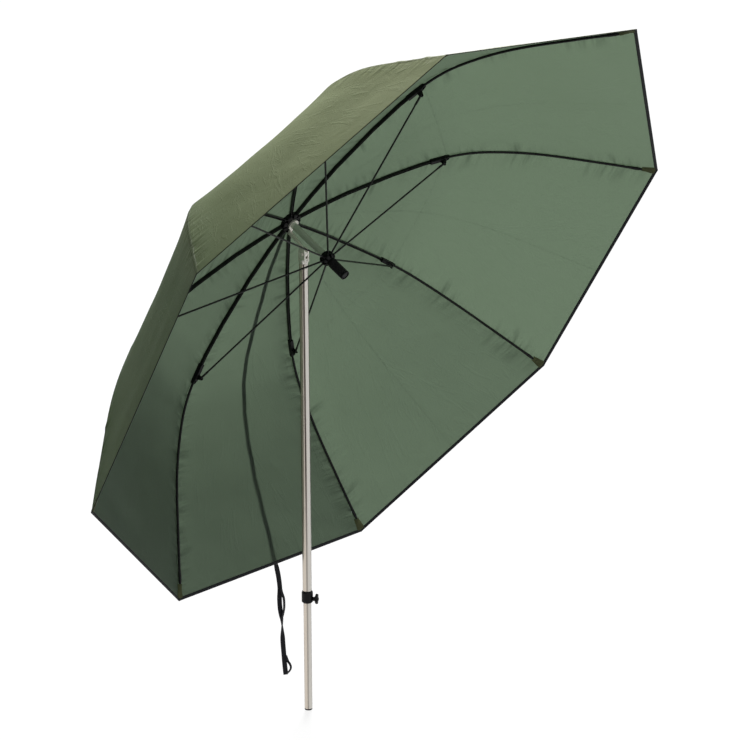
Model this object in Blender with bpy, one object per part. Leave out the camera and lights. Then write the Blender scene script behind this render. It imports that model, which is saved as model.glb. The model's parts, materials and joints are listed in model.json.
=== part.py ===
"""A fishing umbrella with a tilting top, standing on a two-part telescopic pole.

Lengths are in metres and +Z is up. The origin is the middle of the pole's flat foot. The canopy has its
own frame: z runs along the centre tube from the crown to the open side, x points across it to the gap
between two ribs through which the pole swings. Ribs are lettered clockwise as seen from the open side.
"""

import math

import bmesh
import bpy
from mathutils import Matrix, Vector

# Running gap between neighbours, the overrun of every cutter, and round-piece facets
GAP = 0.0003
OVERRUN = 0.002
FACETS = 24
SMALL_FACETS = 12
WIRE_FACETS = 8
ROD_FACETS = 6
GRIP_FACETS = 16

# Canopy and ribs: the radius is the distance from the axis to a rib tip
CANOPY_RADIUS = 0.955
CLOTH = 0.0008
CLOTH_SAG = 0.008
CROWN_HOLE = 0.014
RIB_COUNT = 8
RIB_LETTERS = "ABCDEFGH"
RIB_WIDTH = 0.006
RIB_DEPTH = 0.010
RIB_WALL = 0.001
RIB_EYE_RADIUS = 0.0048
ROD_RADIUS = 0.0035
ROD_CAP_RADIUS = 0.0044
ROD_CAP_LENGTH = 0.024
ROD_SHORT_OF_TIP = 0.027
RIB_CURVE_RADIUS_SHARES = (0.0, 0.04, 0.10, 0.20, 0.35, 0.50, 0.60, 0.68, 0.76, 0.88, 1.0)
RIB_CURVE_DEPTH_SHARES = (0.0, 0.0, 0.002, 0.009, 0.029, 0.060, 0.098, 0.150, 0.216, 0.338, 0.466)
CLOTH_STATION_SHARES = (
    0.035, 0.1, 0.2, 0.35, 0.45, 0.5, 0.53, 0.57, 0.61, 0.66, 0.71, 0.76, 0.84, 0.92, 1.0,
)
KNEE_SHARE = 0.53
LUG_SHARE = 0.507

# Crown
HUB_RADIUS = 0.030
HUB_HEIGHT = 0.015
RIB_PIN_CIRCLE = 0.026
CROWN_WIRE_RADIUS = 0.0012
CAP_RADIUS = 0.026
CAP_HEIGHT = 0.007
CAP_SPIGOT_RADIUS = 0.009

# Centre tube
TUBE_RADIUS = 0.0095
TUBE_WALL = 0.0013
TUBE_LENGTH = 0.226
PLUG_DEPTH = 0.014
PLUG_FLANGE = 0.003

# Runner with its grip
RUNNER_DEPTH = 0.156
RUNNER_RADIUS = 0.020
RUNNER_HALF_HEIGHT = 0.014
STRETCHER_PIN_CIRCLE = 0.017
RUNNER_WIRE_RADIUS = 0.001
GRIP_RADIUS = 0.0132
GRIP_LENGTH = 0.060
GRIP_RIDGES = 9
GRIP_RIDGE_HEIGHT = 0.0009
BUTTON_RADIUS = 0.003
BUTTON_STANDS_OUT = 0.0027
BUTTON_TRAVEL = 0.0025

# Stretchers
STRETCHER_RADIUS = 0.0025
STRETCHER_EYE_RADIUS = 0.0032
STRETCHER_SLEEVE_RADIUS = 0.0031
STRETCHER_SLEEVE_LENGTH = 0.030

# Rib joint: the moulded knuckle on each rib
JOINT_WIDTH = 0.012
JOINT_BELOW = 0.008
JOINT_SOCKET_LENGTH = 0.052
JOINT_FORK_REACH = 0.010
LUG_DROP = 0.018
LUG_RADIUS = 0.005

# Tilt joint at the top of the pole
TILT = math.radians(59)
TILT_OFFSET = 0.044
TILT_DROP = 0.082
BRACKET_THICKNESS = 0.008
BRACKET_EYE_RADIUS = 0.0115
BRACKET_COLLAR_RADIUS = 0.016
BRACKET_COLLAR_HEIGHT = 0.0055
BRACKET_WAIST = 0.010
BOLT_RADIUS = 0.004
BOLT_HEAD_RADIUS = 0.0055
BOLT_HEAD_HEIGHT = 0.0027
FORK_CHEEK = 0.0046
FORK_REACH = 0.016
FORK_ABOVE_BOLT = 0.0165
FORK_SHOULDER = 0.010
FORK_PLUG_LENGTH = 0.040

# Pole
UPPER_POLE_RADIUS = 0.0125
UPPER_POLE_WALL = 0.0012
UPPER_POLE_LENGTH = 0.941
LOWER_POLE_RADIUS = 0.0110
LOWER_POLE_WALL = 0.0012
LOWER_POLE_SHOWN = 0.343
LOWER_POLE_INSIDE = 0.550
FOOT_THICKNESS = 0.004
FOOT_SPIGOT_LENGTH = 0.018

# Clamp at the pole's joint
COLLAR_RADIUS = 0.0158
COLLAR_HEIGHT = 0.036
COLLAR_ON_UPPER = 0.015
KNOB_AZIMUTH = math.radians(35)
KNOB_SHANK_RADIUS = 0.003
KNOB_BOSS_RADIUS = 0.006
KNOB_BOSS_LENGTH = 0.006
KNOB_STAR_RADIUS = 0.0155
KNOB_STAR_THICKNESS = 0.008
KNOB_LOBES = 5
KNOB_LOBE_SHARE = 0.72

# Straps: the band lies on the cloth, the tail hangs from its lower end
STRAP_WIDTH = 0.014
STRAP_THICKNESS = 0.002
STRAP_BESIDE_SEAM = 0.008
TAIL_FACING_SHARES = (-0.69, 0.72, 0.0)
TAIL_ROUTE = (
    (0.0, 0.0, 0.0),
    (0.003, 0.003, -0.021),
    (0.006, 0.005, -0.043),
    (0.009, 0.006, -0.073),
    (0.008, 0.005, -0.104),
    (0.008, 0.007, -0.136),
    (0.011, 0.010, -0.168),
    (0.012, 0.011, -0.200),
    (0.013, 0.011, -0.236),
    (0.014, 0.013, -0.270),
    (0.016, 0.014, -0.304),
    (0.018, 0.016, -0.337),
)

# Where the pieces meet, worked out from the sizes above
SECTOR = math.tau / RIB_COUNT
PIVOT_HEIGHT = LOWER_POLE_SHOWN + UPPER_POLE_LENGTH + FORK_SHOULDER + FORK_REACH + GAP
COLLAR_BOTTOM = LOWER_POLE_SHOWN + COLLAR_ON_UPPER - COLLAR_HEIGHT
KNOB_HEIGHT = (COLLAR_BOTTOM + LOWER_POLE_SHOWN) / 2
HUB_TOP = -RIB_DEPTH / 2
HUB_BOTTOM = HUB_TOP + HUB_HEIGHT
FORK_HALF_WIDTH = BRACKET_THICKNESS / 2 + GAP + FORK_CHEEK
GRIP_TOP = RUNNER_HALF_HEIGHT + GAP


def clear_scene():
    for obj in list(bpy.data.objects):
        bpy.data.objects.remove(obj, do_unlink=True)


def finish(name, colour, roughness, metallic=0.0):
    material = bpy.data.materials.new(name)
    material.use_nodes = True
    shader = material.node_tree.nodes["Principled BSDF"]
    shader.inputs["Base Color"].default_value = (*colour, 1.0)
    shader.inputs["Roughness"].default_value = roughness
    shader.inputs["Metallic"].default_value = metallic
    material.diffuse_color = (*colour, 1.0)
    return material


def hermite(position, places, values):
    """A smooth curve through the points, with the mean of the neighbouring slopes at each."""
    count = len(places)
    slopes = [(values[i + 1] - values[i]) / (places[i + 1] - places[i]) for i in range(count - 1)]
    bends = [slopes[0]] + [(a + b) / 2 for a, b in zip(slopes, slopes[1:])] + [slopes[-1]]
    i = max(k for k in range(count - 1) if position >= places[k] or k == 0)
    width = places[i + 1] - places[i]
    t = (position - places[i]) / width
    return (
        (2 * t**3 - 3 * t**2 + 1) * values[i]
        + (t**3 - 2 * t**2 + t) * width * bends[i]
        + (-2 * t**3 + 3 * t**2) * values[i + 1]
        + (t**3 - t**2) * width * bends[i + 1]
    )


def rib_depth(radius):
    """How far the rib's centre line lies below the crown, at a distance from the axis."""
    share = radius / CANOPY_RADIUS
    return CANOPY_RADIUS * hermite(share, RIB_CURVE_RADIUS_SHARES, RIB_CURVE_DEPTH_SHARES)


def rib_slope(radius):
    step = CANOPY_RADIUS / 500
    return (rib_depth(radius + step) - rib_depth(radius - step)) / (2 * step)


def rib_stations(first, last):
    """Distances from the axis between two limits, at the places where the cloth has its rows."""
    rows = [share * CANOPY_RADIUS for share in CLOTH_STATION_SHARES]
    inside = [row for row in rows if first + OVERRUN < row < last - OVERRUN]
    return [first, *inside, last]


def loft(rings):
    """A solid through rings of points: a face on the first ring, extruded from ring to ring."""
    mesh = bmesh.new()
    ring = [mesh.verts.new(point) for point in rings[0]]
    face = mesh.faces.new(ring)
    inner = []
    for points in rings[1:]:
        made = bmesh.ops.extrude_face_region(mesh, geom=[face])["geom"]
        inner.append(face)
        fresh = [item for item in made if isinstance(item, bmesh.types.BMVert)]
        face = [item for item in made if isinstance(item, bmesh.types.BMFace)][0]
        ring = [min(fresh, key=lambda vert: (vert.co - old.co).length_squared) for old in ring]
        for vert, point in zip(ring, points):
            vert.co = point
    bmesh.ops.delete(mesh, geom=inner[1:], context="FACES_ONLY")
    return mesh


def turned(profile, facets=FACETS):
    """A solid turned about z from points (radius, height); points on the axis are closed there."""
    mesh = bmesh.new()
    verts = [mesh.verts.new((radius, 0, height)) for radius, height in profile]
    on_axis = profile[0][0] == 0 and profile[-1][0] == 0
    pairs = list(zip(verts, verts[1:])) + ([] if on_axis else [(verts[-1], verts[0])])
    edges = [mesh.edges.new(pair) for pair in pairs]
    bmesh.ops.spin(
        mesh, geom=verts + edges, cent=(0, 0, 0), axis=(0, 0, 1), angle=math.tau, steps=facets, use_merge=True
    )
    bmesh.ops.remove_doubles(mesh, verts=mesh.verts, dist=GAP / 10)
    return mesh


def tube_solid(outer, inner, low, high, facets=FACETS):
    return turned([(outer, low), (outer, high), (inner, high), (inner, low)], facets)


def ring_wire(circle, radius, facets=RIB_COUNT * 2):
    """A round wire bent into a ring of straights; each eye sits on the middle of one."""
    centre = circle / math.cos(math.pi / facets)
    corners = [k * math.tau / WIRE_FACETS for k in range(WIRE_FACETS)]
    profile = [(centre + radius * math.cos(a), radius * math.sin(a)) for a in corners]
    mesh = turned(profile, facets)
    bmesh.ops.rotate(mesh, verts=mesh.verts, cent=(0, 0, 0), matrix=Matrix.Rotation(SECTOR / 4, 3, "Z"))
    return mesh


def cylinder(radius, low, high, facets=FACETS):
    return turned([(0, low), (radius, low), (radius, high), (0, high)], facets)


def block(low, high):
    mesh = bmesh.new()
    low, high = Vector(low), Vector(high)
    size = high - low
    place = Matrix.Translation((low + high) / 2) @ Matrix.Diagonal((*size, 1))
    bmesh.ops.create_cube(mesh, size=1, matrix=place)
    return mesh


def plate(outline, half_thickness):
    """A flat piece: the outline lies in x and z, and the thickness runs along y."""
    return loft([[(x, side * half_thickness, z) for x, z in outline] for side in (-1, 1)])


def arc(centre, radius, start, end, steps):
    """Points round an arc in the plane of x and z, from one angle in degrees to another."""
    angles = [math.radians(start + (end - start) * k / steps) for k in range(steps + 1)]
    return [(centre[0] + radius * math.cos(a), centre[1] + radius * math.sin(a)) for a in angles]


def moved(mesh, matrix):
    bmesh.ops.transform(mesh, matrix=matrix, verts=mesh.verts)
    return mesh


def across(mesh, matrix=None):
    """Turns a shape made along z so that it lies along y."""
    turn = Matrix.Rotation(math.radians(-90), 4, "X")
    return moved(mesh, (matrix or Matrix.Identity(4)) @ turn)


def object_from(name, mesh):
    bmesh.ops.recalc_face_normals(mesh, faces=mesh.faces)
    if mesh.calc_volume(signed=True) < 0:
        bmesh.ops.reverse_faces(mesh, faces=mesh.faces)
    data = bpy.data.meshes.new(name)
    mesh.to_mesh(data)
    mesh.free()
    obj = bpy.data.objects.new(name, data)
    bpy.context.scene.collection.objects.link(obj)
    return obj


def combined(name, base, joined=(), cut=()):
    """One mesh from a base shape, the shapes joined to it and the shapes cut out of the whole."""
    obj = object_from(name, base)
    helpers = []
    for operation, shapes in (("UNION", joined), ("DIFFERENCE", cut)):
        for shape in shapes:
            helper = object_from(f"{name}_{operation.lower()}", shape)
            helper.hide_render = True
            helper.display_type = "WIRE"
            modifier = obj.modifiers.new(operation.title(), "BOOLEAN")
            modifier.operation = operation
            modifier.solver = "EXACT"
            modifier.object = helper
            helpers.append(helper)
    graph = bpy.context.evaluated_depsgraph_get()
    data = bpy.data.meshes.new_from_object(obj.evaluated_get(graph))
    for used in (obj, *helpers):
        bpy.data.objects.remove(used, do_unlink=True)
    return data


def plain(name, mesh):
    return combined(name, mesh)


def place(name, data, material, parent=None):
    """The finished object, in its parent's frame."""
    obj = bpy.data.objects.new(name, data)
    bpy.context.scene.collection.objects.link(obj)
    obj.parent = parent
    if not data.materials:
        data.materials.append(material)
    data.shade_smooth()
    data.set_sharp_from_angle(angle=math.radians(35))
    return obj


def frame_at(name, parent, location, rotation=(0, 0, 0)):
    empty = bpy.data.objects.new(name, None)
    bpy.context.scene.collection.objects.link(empty)
    empty.parent = parent
    empty.location = location
    empty.rotation_euler = rotation
    return empty


def in_joint_frame(radius, depth):
    """The frame of the rib's slope at the knee: x along the rib, z down, at a place given from the rib pin."""
    slope = math.atan(rib_slope(KNEE_SHARE * CANOPY_RADIUS))
    return Matrix.Translation((radius, 0, depth)) @ Matrix.Rotation(-slope, 4, "Y")


KNEE_RADIUS = KNEE_SHARE * CANOPY_RADIUS
KNEE_DEPTH = rib_depth(KNEE_RADIUS)
LUG_RADIUS_OUT = LUG_SHARE * CANOPY_RADIUS
LUG_DEPTH = rib_depth(LUG_RADIUS_OUT) + LUG_DROP
STRETCHER_RUN = Vector((LUG_RADIUS_OUT - STRETCHER_PIN_CIRCLE, 0, LUG_DEPTH - RUNNER_DEPTH))


def rib_ring(radius, half_width, half_depth, chamfer, below=None):
    """A chamfered section square to the rib's curve, in the frame of the rib pin."""
    slope = math.atan(rib_slope(radius))
    along = Vector((math.cos(slope), 0, math.sin(slope)))
    down = Vector((-along.z, 0, along.x))
    centre = Vector((radius - RIB_PIN_CIRCLE, 0, rib_depth(radius)))
    below = half_depth if below is None else below
    corners = (
        (-half_width, -half_depth + chamfer), (-half_width + chamfer, -half_depth),
        (half_width - chamfer, -half_depth), (half_width, -half_depth + chamfer),
        (half_width, below - chamfer), (half_width - chamfer, below),
        (-half_width + chamfer, below), (-half_width, below - chamfer),
    )
    return [centre + Vector((0, y, 0)) + down * z for y, z in corners]


def channel_ring(radius):
    """The pressed channel's section, open on its lower side."""
    slope = math.atan(rib_slope(radius))
    down = Vector((-math.sin(slope), 0, math.cos(slope)))
    centre = Vector((radius - RIB_PIN_CIRCLE, 0, rib_depth(radius)))
    half, top, chamfer = RIB_WIDTH / 2, -RIB_DEPTH / 2, RIB_WALL
    corners = (
        (-half, -top), (-half, top + chamfer), (-half + chamfer, top), (half - chamfer, top),
        (half, top + chamfer), (half, -top), (half - RIB_WALL, -top), (half - RIB_WALL, top + 2 * RIB_WALL),
        (-half + RIB_WALL, top + 2 * RIB_WALL), (-half + RIB_WALL, -top),
    )
    return [centre + Vector((0, y, 0)) + down * z for y, z in corners]


def inner_rib():
    """A pressed steel channel from the crown into the joint's socket, with the eye that the wire carries."""
    last = KNEE_RADIUS - JOINT_SOCKET_LENGTH / 2
    radii = rib_stations(RIB_PIN_CIRCLE + RIB_EYE_RADIUS / 2, last)
    bar = loft([channel_ring(radius) for radius in radii])
    thin = RIB_WIDTH / 2 - GAP
    eye = across(cylinder(RIB_EYE_RADIUS, -thin, thin, SMALL_FACETS))
    reach = RIB_WIDTH / 2 + OVERRUN
    hole = across(cylinder(CROWN_WIRE_RADIUS + 2 * GAP, -reach, reach, SMALL_FACETS))
    return combined("inner_rib", eye, joined=(bar,), cut=(hole,))


def rib_joint():
    """The moulded knuckle: a socket for the inner rib, a fork for the outer rod and a lug for the stretcher."""
    knee = in_joint_frame(KNEE_RADIUS - RIB_PIN_CIRCLE, KNEE_DEPTH)
    half = JOINT_WIDTH / 2
    start = KNEE_RADIUS - JOINT_SOCKET_LENGTH
    end = KNEE_RADIUS - RIB_EYE_RADIUS
    radii = rib_stations(start, end)
    body = loft([rib_ring(radius, half, RIB_DEPTH / 2, RIB_WIDTH / 6, JOINT_BELOW) for radius in radii])
    rest = RIB_WIDTH / 2 + GAP
    cheeks = moved(
        plate(
            [(-JOINT_FORK_REACH, -RIB_DEPTH / 2), (0, -RIB_DEPTH / 2)]
            + arc((0, 0), RIB_DEPTH / 2, -90, 90, 6)
            + [(0, RIB_DEPTH / 2), (-JOINT_FORK_REACH, JOINT_BELOW)],
            half - GAP,
        ),
        knee,
    )
    lug_place = in_joint_frame(LUG_RADIUS_OUT - RIB_PIN_CIRCLE, LUG_DEPTH)
    lug = moved(
        plate(
            [(-LUG_RADIUS - OVERRUN, -LUG_DROP + RIB_DEPTH / 2), (LUG_RADIUS + OVERRUN, -LUG_DROP + RIB_DEPTH / 2)]
            + arc((0, 0), LUG_RADIUS, 0, 180, 6),
            half - 3 * GAP,
        ),
        lug_place,
    )
    rivet = moved(
        across(cylinder(LUG_RADIUS / 2, -half, half, WIRE_FACETS)), lug_place
    )
    fork_slot = moved(
        block((-RIB_EYE_RADIUS - 2 * GAP, -rest, -RIB_DEPTH), (JOINT_FORK_REACH, rest, RIB_DEPTH)), knee
    )
    underside = JOINT_BELOW - LUG_DROP * math.cos(math.atan(rib_slope(LUG_RADIUS_OUT)))
    lug_slot = moved(
        block(
            (-2 * LUG_RADIUS, -STRETCHER_SLEEVE_RADIUS - GAP, underside - RIB_WALL / 2),
            (2 * LUG_RADIUS, STRETCHER_SLEEVE_RADIUS + GAP, LUG_DROP),
        ),
        lug_place,
    )
    socket_end = KNEE_RADIUS - JOINT_SOCKET_LENGTH / 2 + GAP
    socket_rows = rib_stations(start - JOINT_SOCKET_LENGTH, socket_end)
    socket = loft([
        rib_ring(radius, rest, RIB_DEPTH / 2 + RIB_WALL, GAP, RIB_DEPTH / 2 + GAP) for radius in socket_rows
    ])
    return combined("rib_joint", body, joined=(cheeks, lug, rivet), cut=(fork_slot, lug_slot, socket))


def outer_rod():
    """The bowed rod, in the frame of the knee: a flat eye in the fork, a round rod and an end cap."""
    shift = Matrix.Translation((RIB_PIN_CIRCLE - KNEE_RADIUS, 0, -KNEE_DEPTH))
    last = CANOPY_RADIUS - ROD_SHORT_OF_TIP
    first = KNEE_RADIUS + RIB_EYE_RADIUS / 2
    sides = [k * math.tau / ROD_FACETS for k in range(ROD_FACETS)]

    def ring(radius, half_width, half_depth):
        slope = math.atan(rib_slope(radius))
        down = Vector((-math.sin(slope), 0, math.cos(slope)))
        centre = Vector((radius - RIB_PIN_CIRCLE, 0, rib_depth(radius)))
        return [
            centre + Vector((0, half_width * math.cos(a), 0)) + down * half_depth * math.sin(a)
            for a in sides
        ]

    neck_end = KNEE_RADIUS + JOINT_FORK_REACH
    thin = RIB_WIDTH / 2 - GAP
    rings = [ring(first, thin, thin)]
    rings.append(ring(neck_end, thin, ROD_RADIUS))
    cap_start = last - ROD_CAP_LENGTH
    rows = rib_stations(neck_end + RIB_WIDTH, cap_start)
    rings += [ring(radius, ROD_RADIUS, ROD_RADIUS) for radius in rows]
    rings += [ring(cap_start + CLOTH, ROD_CAP_RADIUS, ROD_CAP_RADIUS)]
    rings += [ring(last - RIB_WIDTH / 2, ROD_CAP_RADIUS, ROD_CAP_RADIUS)]
    rings += [ring(last, ROD_RADIUS, ROD_RADIUS)]
    rod = moved(loft(rings), shift)
    eye = across(cylinder(RIB_EYE_RADIUS, -RIB_WIDTH / 2, RIB_WIDTH / 2, SMALL_FACETS))
    return combined("outer_rod", eye, joined=(rod,))


def stretcher():
    """A thin rod in the frame of the runner's wire, with an eye at one end and a sleeve at the other."""
    lean = Matrix.Rotation(-math.atan2(STRETCHER_RUN.z, STRETCHER_RUN.x), 4, "Y")
    reach = STRETCHER_RUN.length
    along = Matrix.Rotation(math.radians(90), 4, "Y")
    sleeve = reach - STRETCHER_SLEEVE_LENGTH
    profile = [
        (0, STRETCHER_EYE_RADIUS / 2), (STRETCHER_RADIUS, STRETCHER_EYE_RADIUS / 2),
        (STRETCHER_RADIUS, sleeve), (STRETCHER_SLEEVE_RADIUS, sleeve + STRETCHER_RADIUS),
        (STRETCHER_SLEEVE_RADIUS, reach), (STRETCHER_RADIUS, reach + STRETCHER_RADIUS),
        (0, reach + STRETCHER_RADIUS),
    ]
    rod = moved(turned(profile, WIRE_FACETS), lean @ along)
    half = STRETCHER_RADIUS - GAP
    eye = across(cylinder(STRETCHER_EYE_RADIUS, -half, half, SMALL_FACETS))
    hole = across(cylinder(RUNNER_WIRE_RADIUS + GAP, -half - OVERRUN, half + OVERRUN, SMALL_FACETS))
    return combined("stretcher", eye, joined=(rod,), cut=(hole,))


def cloth_lift(radius):
    """How far the inside of the cloth lies above the rib's centre line, square to it, to clear what is there."""
    steepness = math.tan(SECTOR / 2) * math.sin(math.atan(rib_slope(radius)))
    if radius < KNEE_RADIUS - 1.5 * JOINT_SOCKET_LENGTH:
        return RIB_DEPTH / 2 + GAP + steepness * RIB_WIDTH / 2
    if radius < KNEE_RADIUS + JOINT_SOCKET_LENGTH:
        return RIB_DEPTH / 2 + 3 * GAP + steepness * JOINT_WIDTH / 2
    if radius < CANOPY_RADIUS - ROD_SHORT_OF_TIP - 3 * ROD_CAP_LENGTH:
        return ROD_RADIUS * math.hypot(1, steepness) + GAP
    return ROD_CAP_RADIUS * math.hypot(1, steepness) + 2 * GAP


def cloth_row(radius, across_share, lift):
    """A point of the cloth in the rib's plane frame, from its rib (0) to the middle of a gore (1 or -1)."""
    slope = math.atan(rib_slope(radius))
    outwards = radius + lift * math.sin(slope)
    share = radius / CANOPY_RADIUS
    sag = CLOTH_SAG * math.sin(math.pi * share) ** 2 * across_share**2
    half_angle = SECTOR / 2
    distance = abs(across_share) * (outwards * math.sin(half_angle) - GAP / 2)
    side = 1 if across_share >= 0 else -1
    return Vector((
        outwards - distance * math.sin(half_angle),
        side * distance * math.cos(half_angle),
        rib_depth(radius) - lift * math.cos(slope) + sag,
    ))


def canopy_panel():
    """The cloth round one rib, out to the middle of the gore on either side, in the rib pin's frame."""
    shares = (-1, 0, 1)
    rows = [CROWN_HOLE] + [share * CANOPY_RADIUS for share in CLOTH_STATION_SHARES]
    shift = Vector((-RIB_PIN_CIRCLE, 0, 0))
    rings = []
    for radius in rows:
        lift = cloth_lift(radius)
        inside = [cloth_row(radius, share, lift) + shift for share in shares]
        outside = [cloth_row(radius, share, lift + CLOTH) + shift for share in reversed(shares)]
        rings.append(inside + outside)
    return plain("canopy_panel", loft(rings))


def strap_section(centre, along, out, width, thickness):
    """Four corners of a flat strap's section, square to where it runs."""
    side = along.cross(out).normalized() * width / 2
    up = out.normalized() * thickness / 2
    return [centre - side - up, centre + side - up, centre + side + up, centre - side + up]


def band_centre(radius, lift):
    """The strap's middle on the cloth beside the gore's middle, in the frame of the rib's plane."""
    run = radius * math.sin(SECTOR / 2) - GAP / 2
    aside = max(1 - STRAP_BESIDE_SEAM / run, 0)
    return cloth_row(radius, -aside, lift)


def band_section(radius):
    """The strap's centre on the cloth at a distance from the axis, where it runs and which way it faces."""
    lift = cloth_lift(radius) + CLOTH + GAP + STRAP_THICKNESS / 2 + CLOTH
    step = CANOPY_RADIUS / 500
    shift = Vector((RIB_PIN_CIRCLE, 0, 0))
    here = band_centre(radius, lift)
    along = (here - band_centre(radius - step, lift)).normalized()
    chord = Vector((-math.sin(SECTOR / 2), -math.cos(SECTOR / 2), 0))
    out = chord.cross(along).normalized()
    return here - shift, along, out if out.z < 0 else -out


def strap_band():
    """The part of the tie strap that lies on the cloth, from the crown's cap to the hem."""
    first = CAP_RADIUS + STRAP_WIDTH
    rows = [first] + [s * CANOPY_RADIUS for s in CLOTH_STATION_SHARES if s * CANOPY_RADIUS > first]
    return plain("strap_band", loft([
        strap_section(*band_section(radius), STRAP_WIDTH, STRAP_THICKNESS) for radius in rows
    ]))


def strap_tail(start, along, out):
    """The part of the tie strap that hangs down from the band's end, turning to face away from the pole."""
    route = [start + along * GAP + Vector(point) for point in TAIL_ROUTE]
    facing = Vector(TAIL_FACING_SHARES)
    rings = [strap_section(route[0], along, out, STRAP_WIDTH, STRAP_THICKNESS)]
    for i in range(1, len(route)):
        runs = route[min(i + 1, len(route) - 1)] - route[i - 1]
        turn = out.lerp(facing, min(2 * i / len(route), 1))
        rings.append(strap_section(route[i], runs, turn, STRAP_WIDTH, STRAP_THICKNESS))
    return plain("tie_strap", loft(rings))


def crown_hub():
    """The moulded hub with a slot for each rib's eye and a groove for the wire."""
    bevel = HUB_HEIGHT / 8
    base = turned([
        (TUBE_RADIUS + GAP, HUB_TOP + HUB_HEIGHT / 3), (TUBE_RADIUS + GAP, HUB_BOTTOM),
        (HUB_RADIUS - bevel, HUB_BOTTOM), (HUB_RADIUS, HUB_BOTTOM - bevel), (HUB_RADIUS, HUB_TOP),
        (0, HUB_TOP), (0, HUB_TOP + HUB_HEIGHT / 3),
    ], RIB_COUNT * 4)
    slots = []
    for i in range(RIB_COUNT):
        slot = block(
            (RIB_PIN_CIRCLE - RIB_EYE_RADIUS - 2 * GAP, -RIB_WIDTH / 2 - GAP, HUB_TOP - OVERRUN),
            (HUB_RADIUS + OVERRUN, RIB_WIDTH / 2 + GAP, HUB_BOTTOM + OVERRUN),
        )
        slots.append(moved(slot, Matrix.Rotation(rib_angle(i), 4, "Z")))
    groove = ring_wire(RIB_PIN_CIRCLE, CROWN_WIRE_RADIUS + GAP)
    return combined("crown_hub", base, cut=(*slots, groove))


def crown_cap():
    """The dome outside the cloth; its spigot comes through the crown's hole to the hub."""
    seat = HUB_TOP - GAP - CLOTH - GAP
    return plain("crown_cap", turned([
        (0, HUB_TOP - GAP), (CAP_SPIGOT_RADIUS, HUB_TOP - GAP), (CAP_SPIGOT_RADIUS, seat),
        (CAP_RADIUS, seat), (CAP_RADIUS * 0.97, seat - CAP_HEIGHT * 0.35),
        (CAP_RADIUS * 0.8, seat - CAP_HEIGHT * 0.75), (CAP_RADIUS * 0.4, seat - CAP_HEIGHT),
        (0, seat - CAP_HEIGHT * 1.05),
    ]))


def centre_tube():
    low = HUB_TOP + HUB_HEIGHT / 3 + GAP
    return plain("centre_tube", tube_solid(TUBE_RADIUS, TUBE_RADIUS - TUBE_WALL, low, low + TUBE_LENGTH))


def tube_plug():
    end = HUB_TOP + HUB_HEIGHT / 3 + GAP + TUBE_LENGTH
    bore = TUBE_RADIUS - TUBE_WALL - GAP
    return plain("tube_plug", turned([
        (0, end - PLUG_DEPTH), (bore, end - PLUG_DEPTH), (bore, end + GAP), (TUBE_RADIUS, end + GAP),
        (TUBE_RADIUS, end + PLUG_FLANGE / 2), (TUBE_RADIUS * 0.8, end + PLUG_FLANGE), (0, end + PLUG_FLANGE),
    ]))


def tilt_bracket():
    """A collar on the centre tube under the hub, with an arm down to the tilt bolt."""
    top = HUB_BOTTOM + GAP
    base = tube_solid(BRACKET_COLLAR_RADIUS, TUBE_RADIUS + GAP, top, top + BRACKET_COLLAR_HEIGHT)
    clear = RUNNER_RADIUS + 5 * GAP
    low = top + BRACKET_COLLAR_HEIGHT
    outline = [
        (TUBE_RADIUS + OVERRUN, top), (clear + BRACKET_WAIST, top),
        (clear + BRACKET_WAIST, TILT_DROP - 2 * BRACKET_EYE_RADIUS),
    ]
    outline += arc((TILT_OFFSET, TILT_DROP), BRACKET_EYE_RADIUS, -45, 180, 14)
    outline += [(clear, low + BRACKET_WAIST), (clear, low), (TUBE_RADIUS + OVERRUN, low)]
    arm = plate(outline, BRACKET_THICKNESS / 2)
    reach = BRACKET_THICKNESS / 2 + OVERRUN
    hole = across(cylinder(BOLT_RADIUS + GAP, -reach, reach), Matrix.Translation((TILT_OFFSET, 0, TILT_DROP)))
    bore = cylinder(TUBE_RADIUS + GAP, top - OVERRUN, low + OVERRUN)
    return combined("tilt_bracket", base, joined=(arm,), cut=(hole, bore))


def runner_head():
    """The sliding head: slots for the stretchers' eyes, a groove for their wire and a hole for the button."""
    high = RUNNER_HALF_HEIGHT
    bore = TUBE_RADIUS + GAP
    base = turned([
        (bore, -high), (RUNNER_RADIUS * 0.68, -high), (RUNNER_RADIUS * 0.93, -high * 0.72),
        (RUNNER_RADIUS, -high * 0.4), (RUNNER_RADIUS, high * 0.4), (RUNNER_RADIUS * 0.93, high * 0.72),
        (GRIP_RADIUS, high), (bore, high),
    ], RIB_COUNT * 4)
    slots = []
    for i in range(RIB_COUNT):
        slot = block(
            (STRETCHER_PIN_CIRCLE - STRETCHER_EYE_RADIUS - GAP, -STRETCHER_RADIUS - GAP,
             -STRETCHER_EYE_RADIUS - 2 * GAP),
            (RUNNER_RADIUS + OVERRUN, STRETCHER_RADIUS + GAP, high + OVERRUN),
        )
        slots.append(moved(slot, Matrix.Rotation(rib_angle(i), 4, "Z")))
    groove = ring_wire(STRETCHER_PIN_CIRCLE, RUNNER_WIRE_RADIUS + GAP)
    hole = moved(
        cylinder(BUTTON_RADIUS + GAP, bore + OVERRUN, RUNNER_RADIUS + OVERRUN, SMALL_FACETS), button_place()
    )
    return combined("runner_head", base, cut=(*slots, groove, hole))


def button_place():
    """The catch button's frame in the runner's: z points out along the canopy frame's y."""
    height = -RUNNER_HALF_HEIGHT / 2 + GAP
    return Matrix.Translation((0, 0, height)) @ Matrix.Rotation(math.radians(-90), 4, "X")


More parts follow.
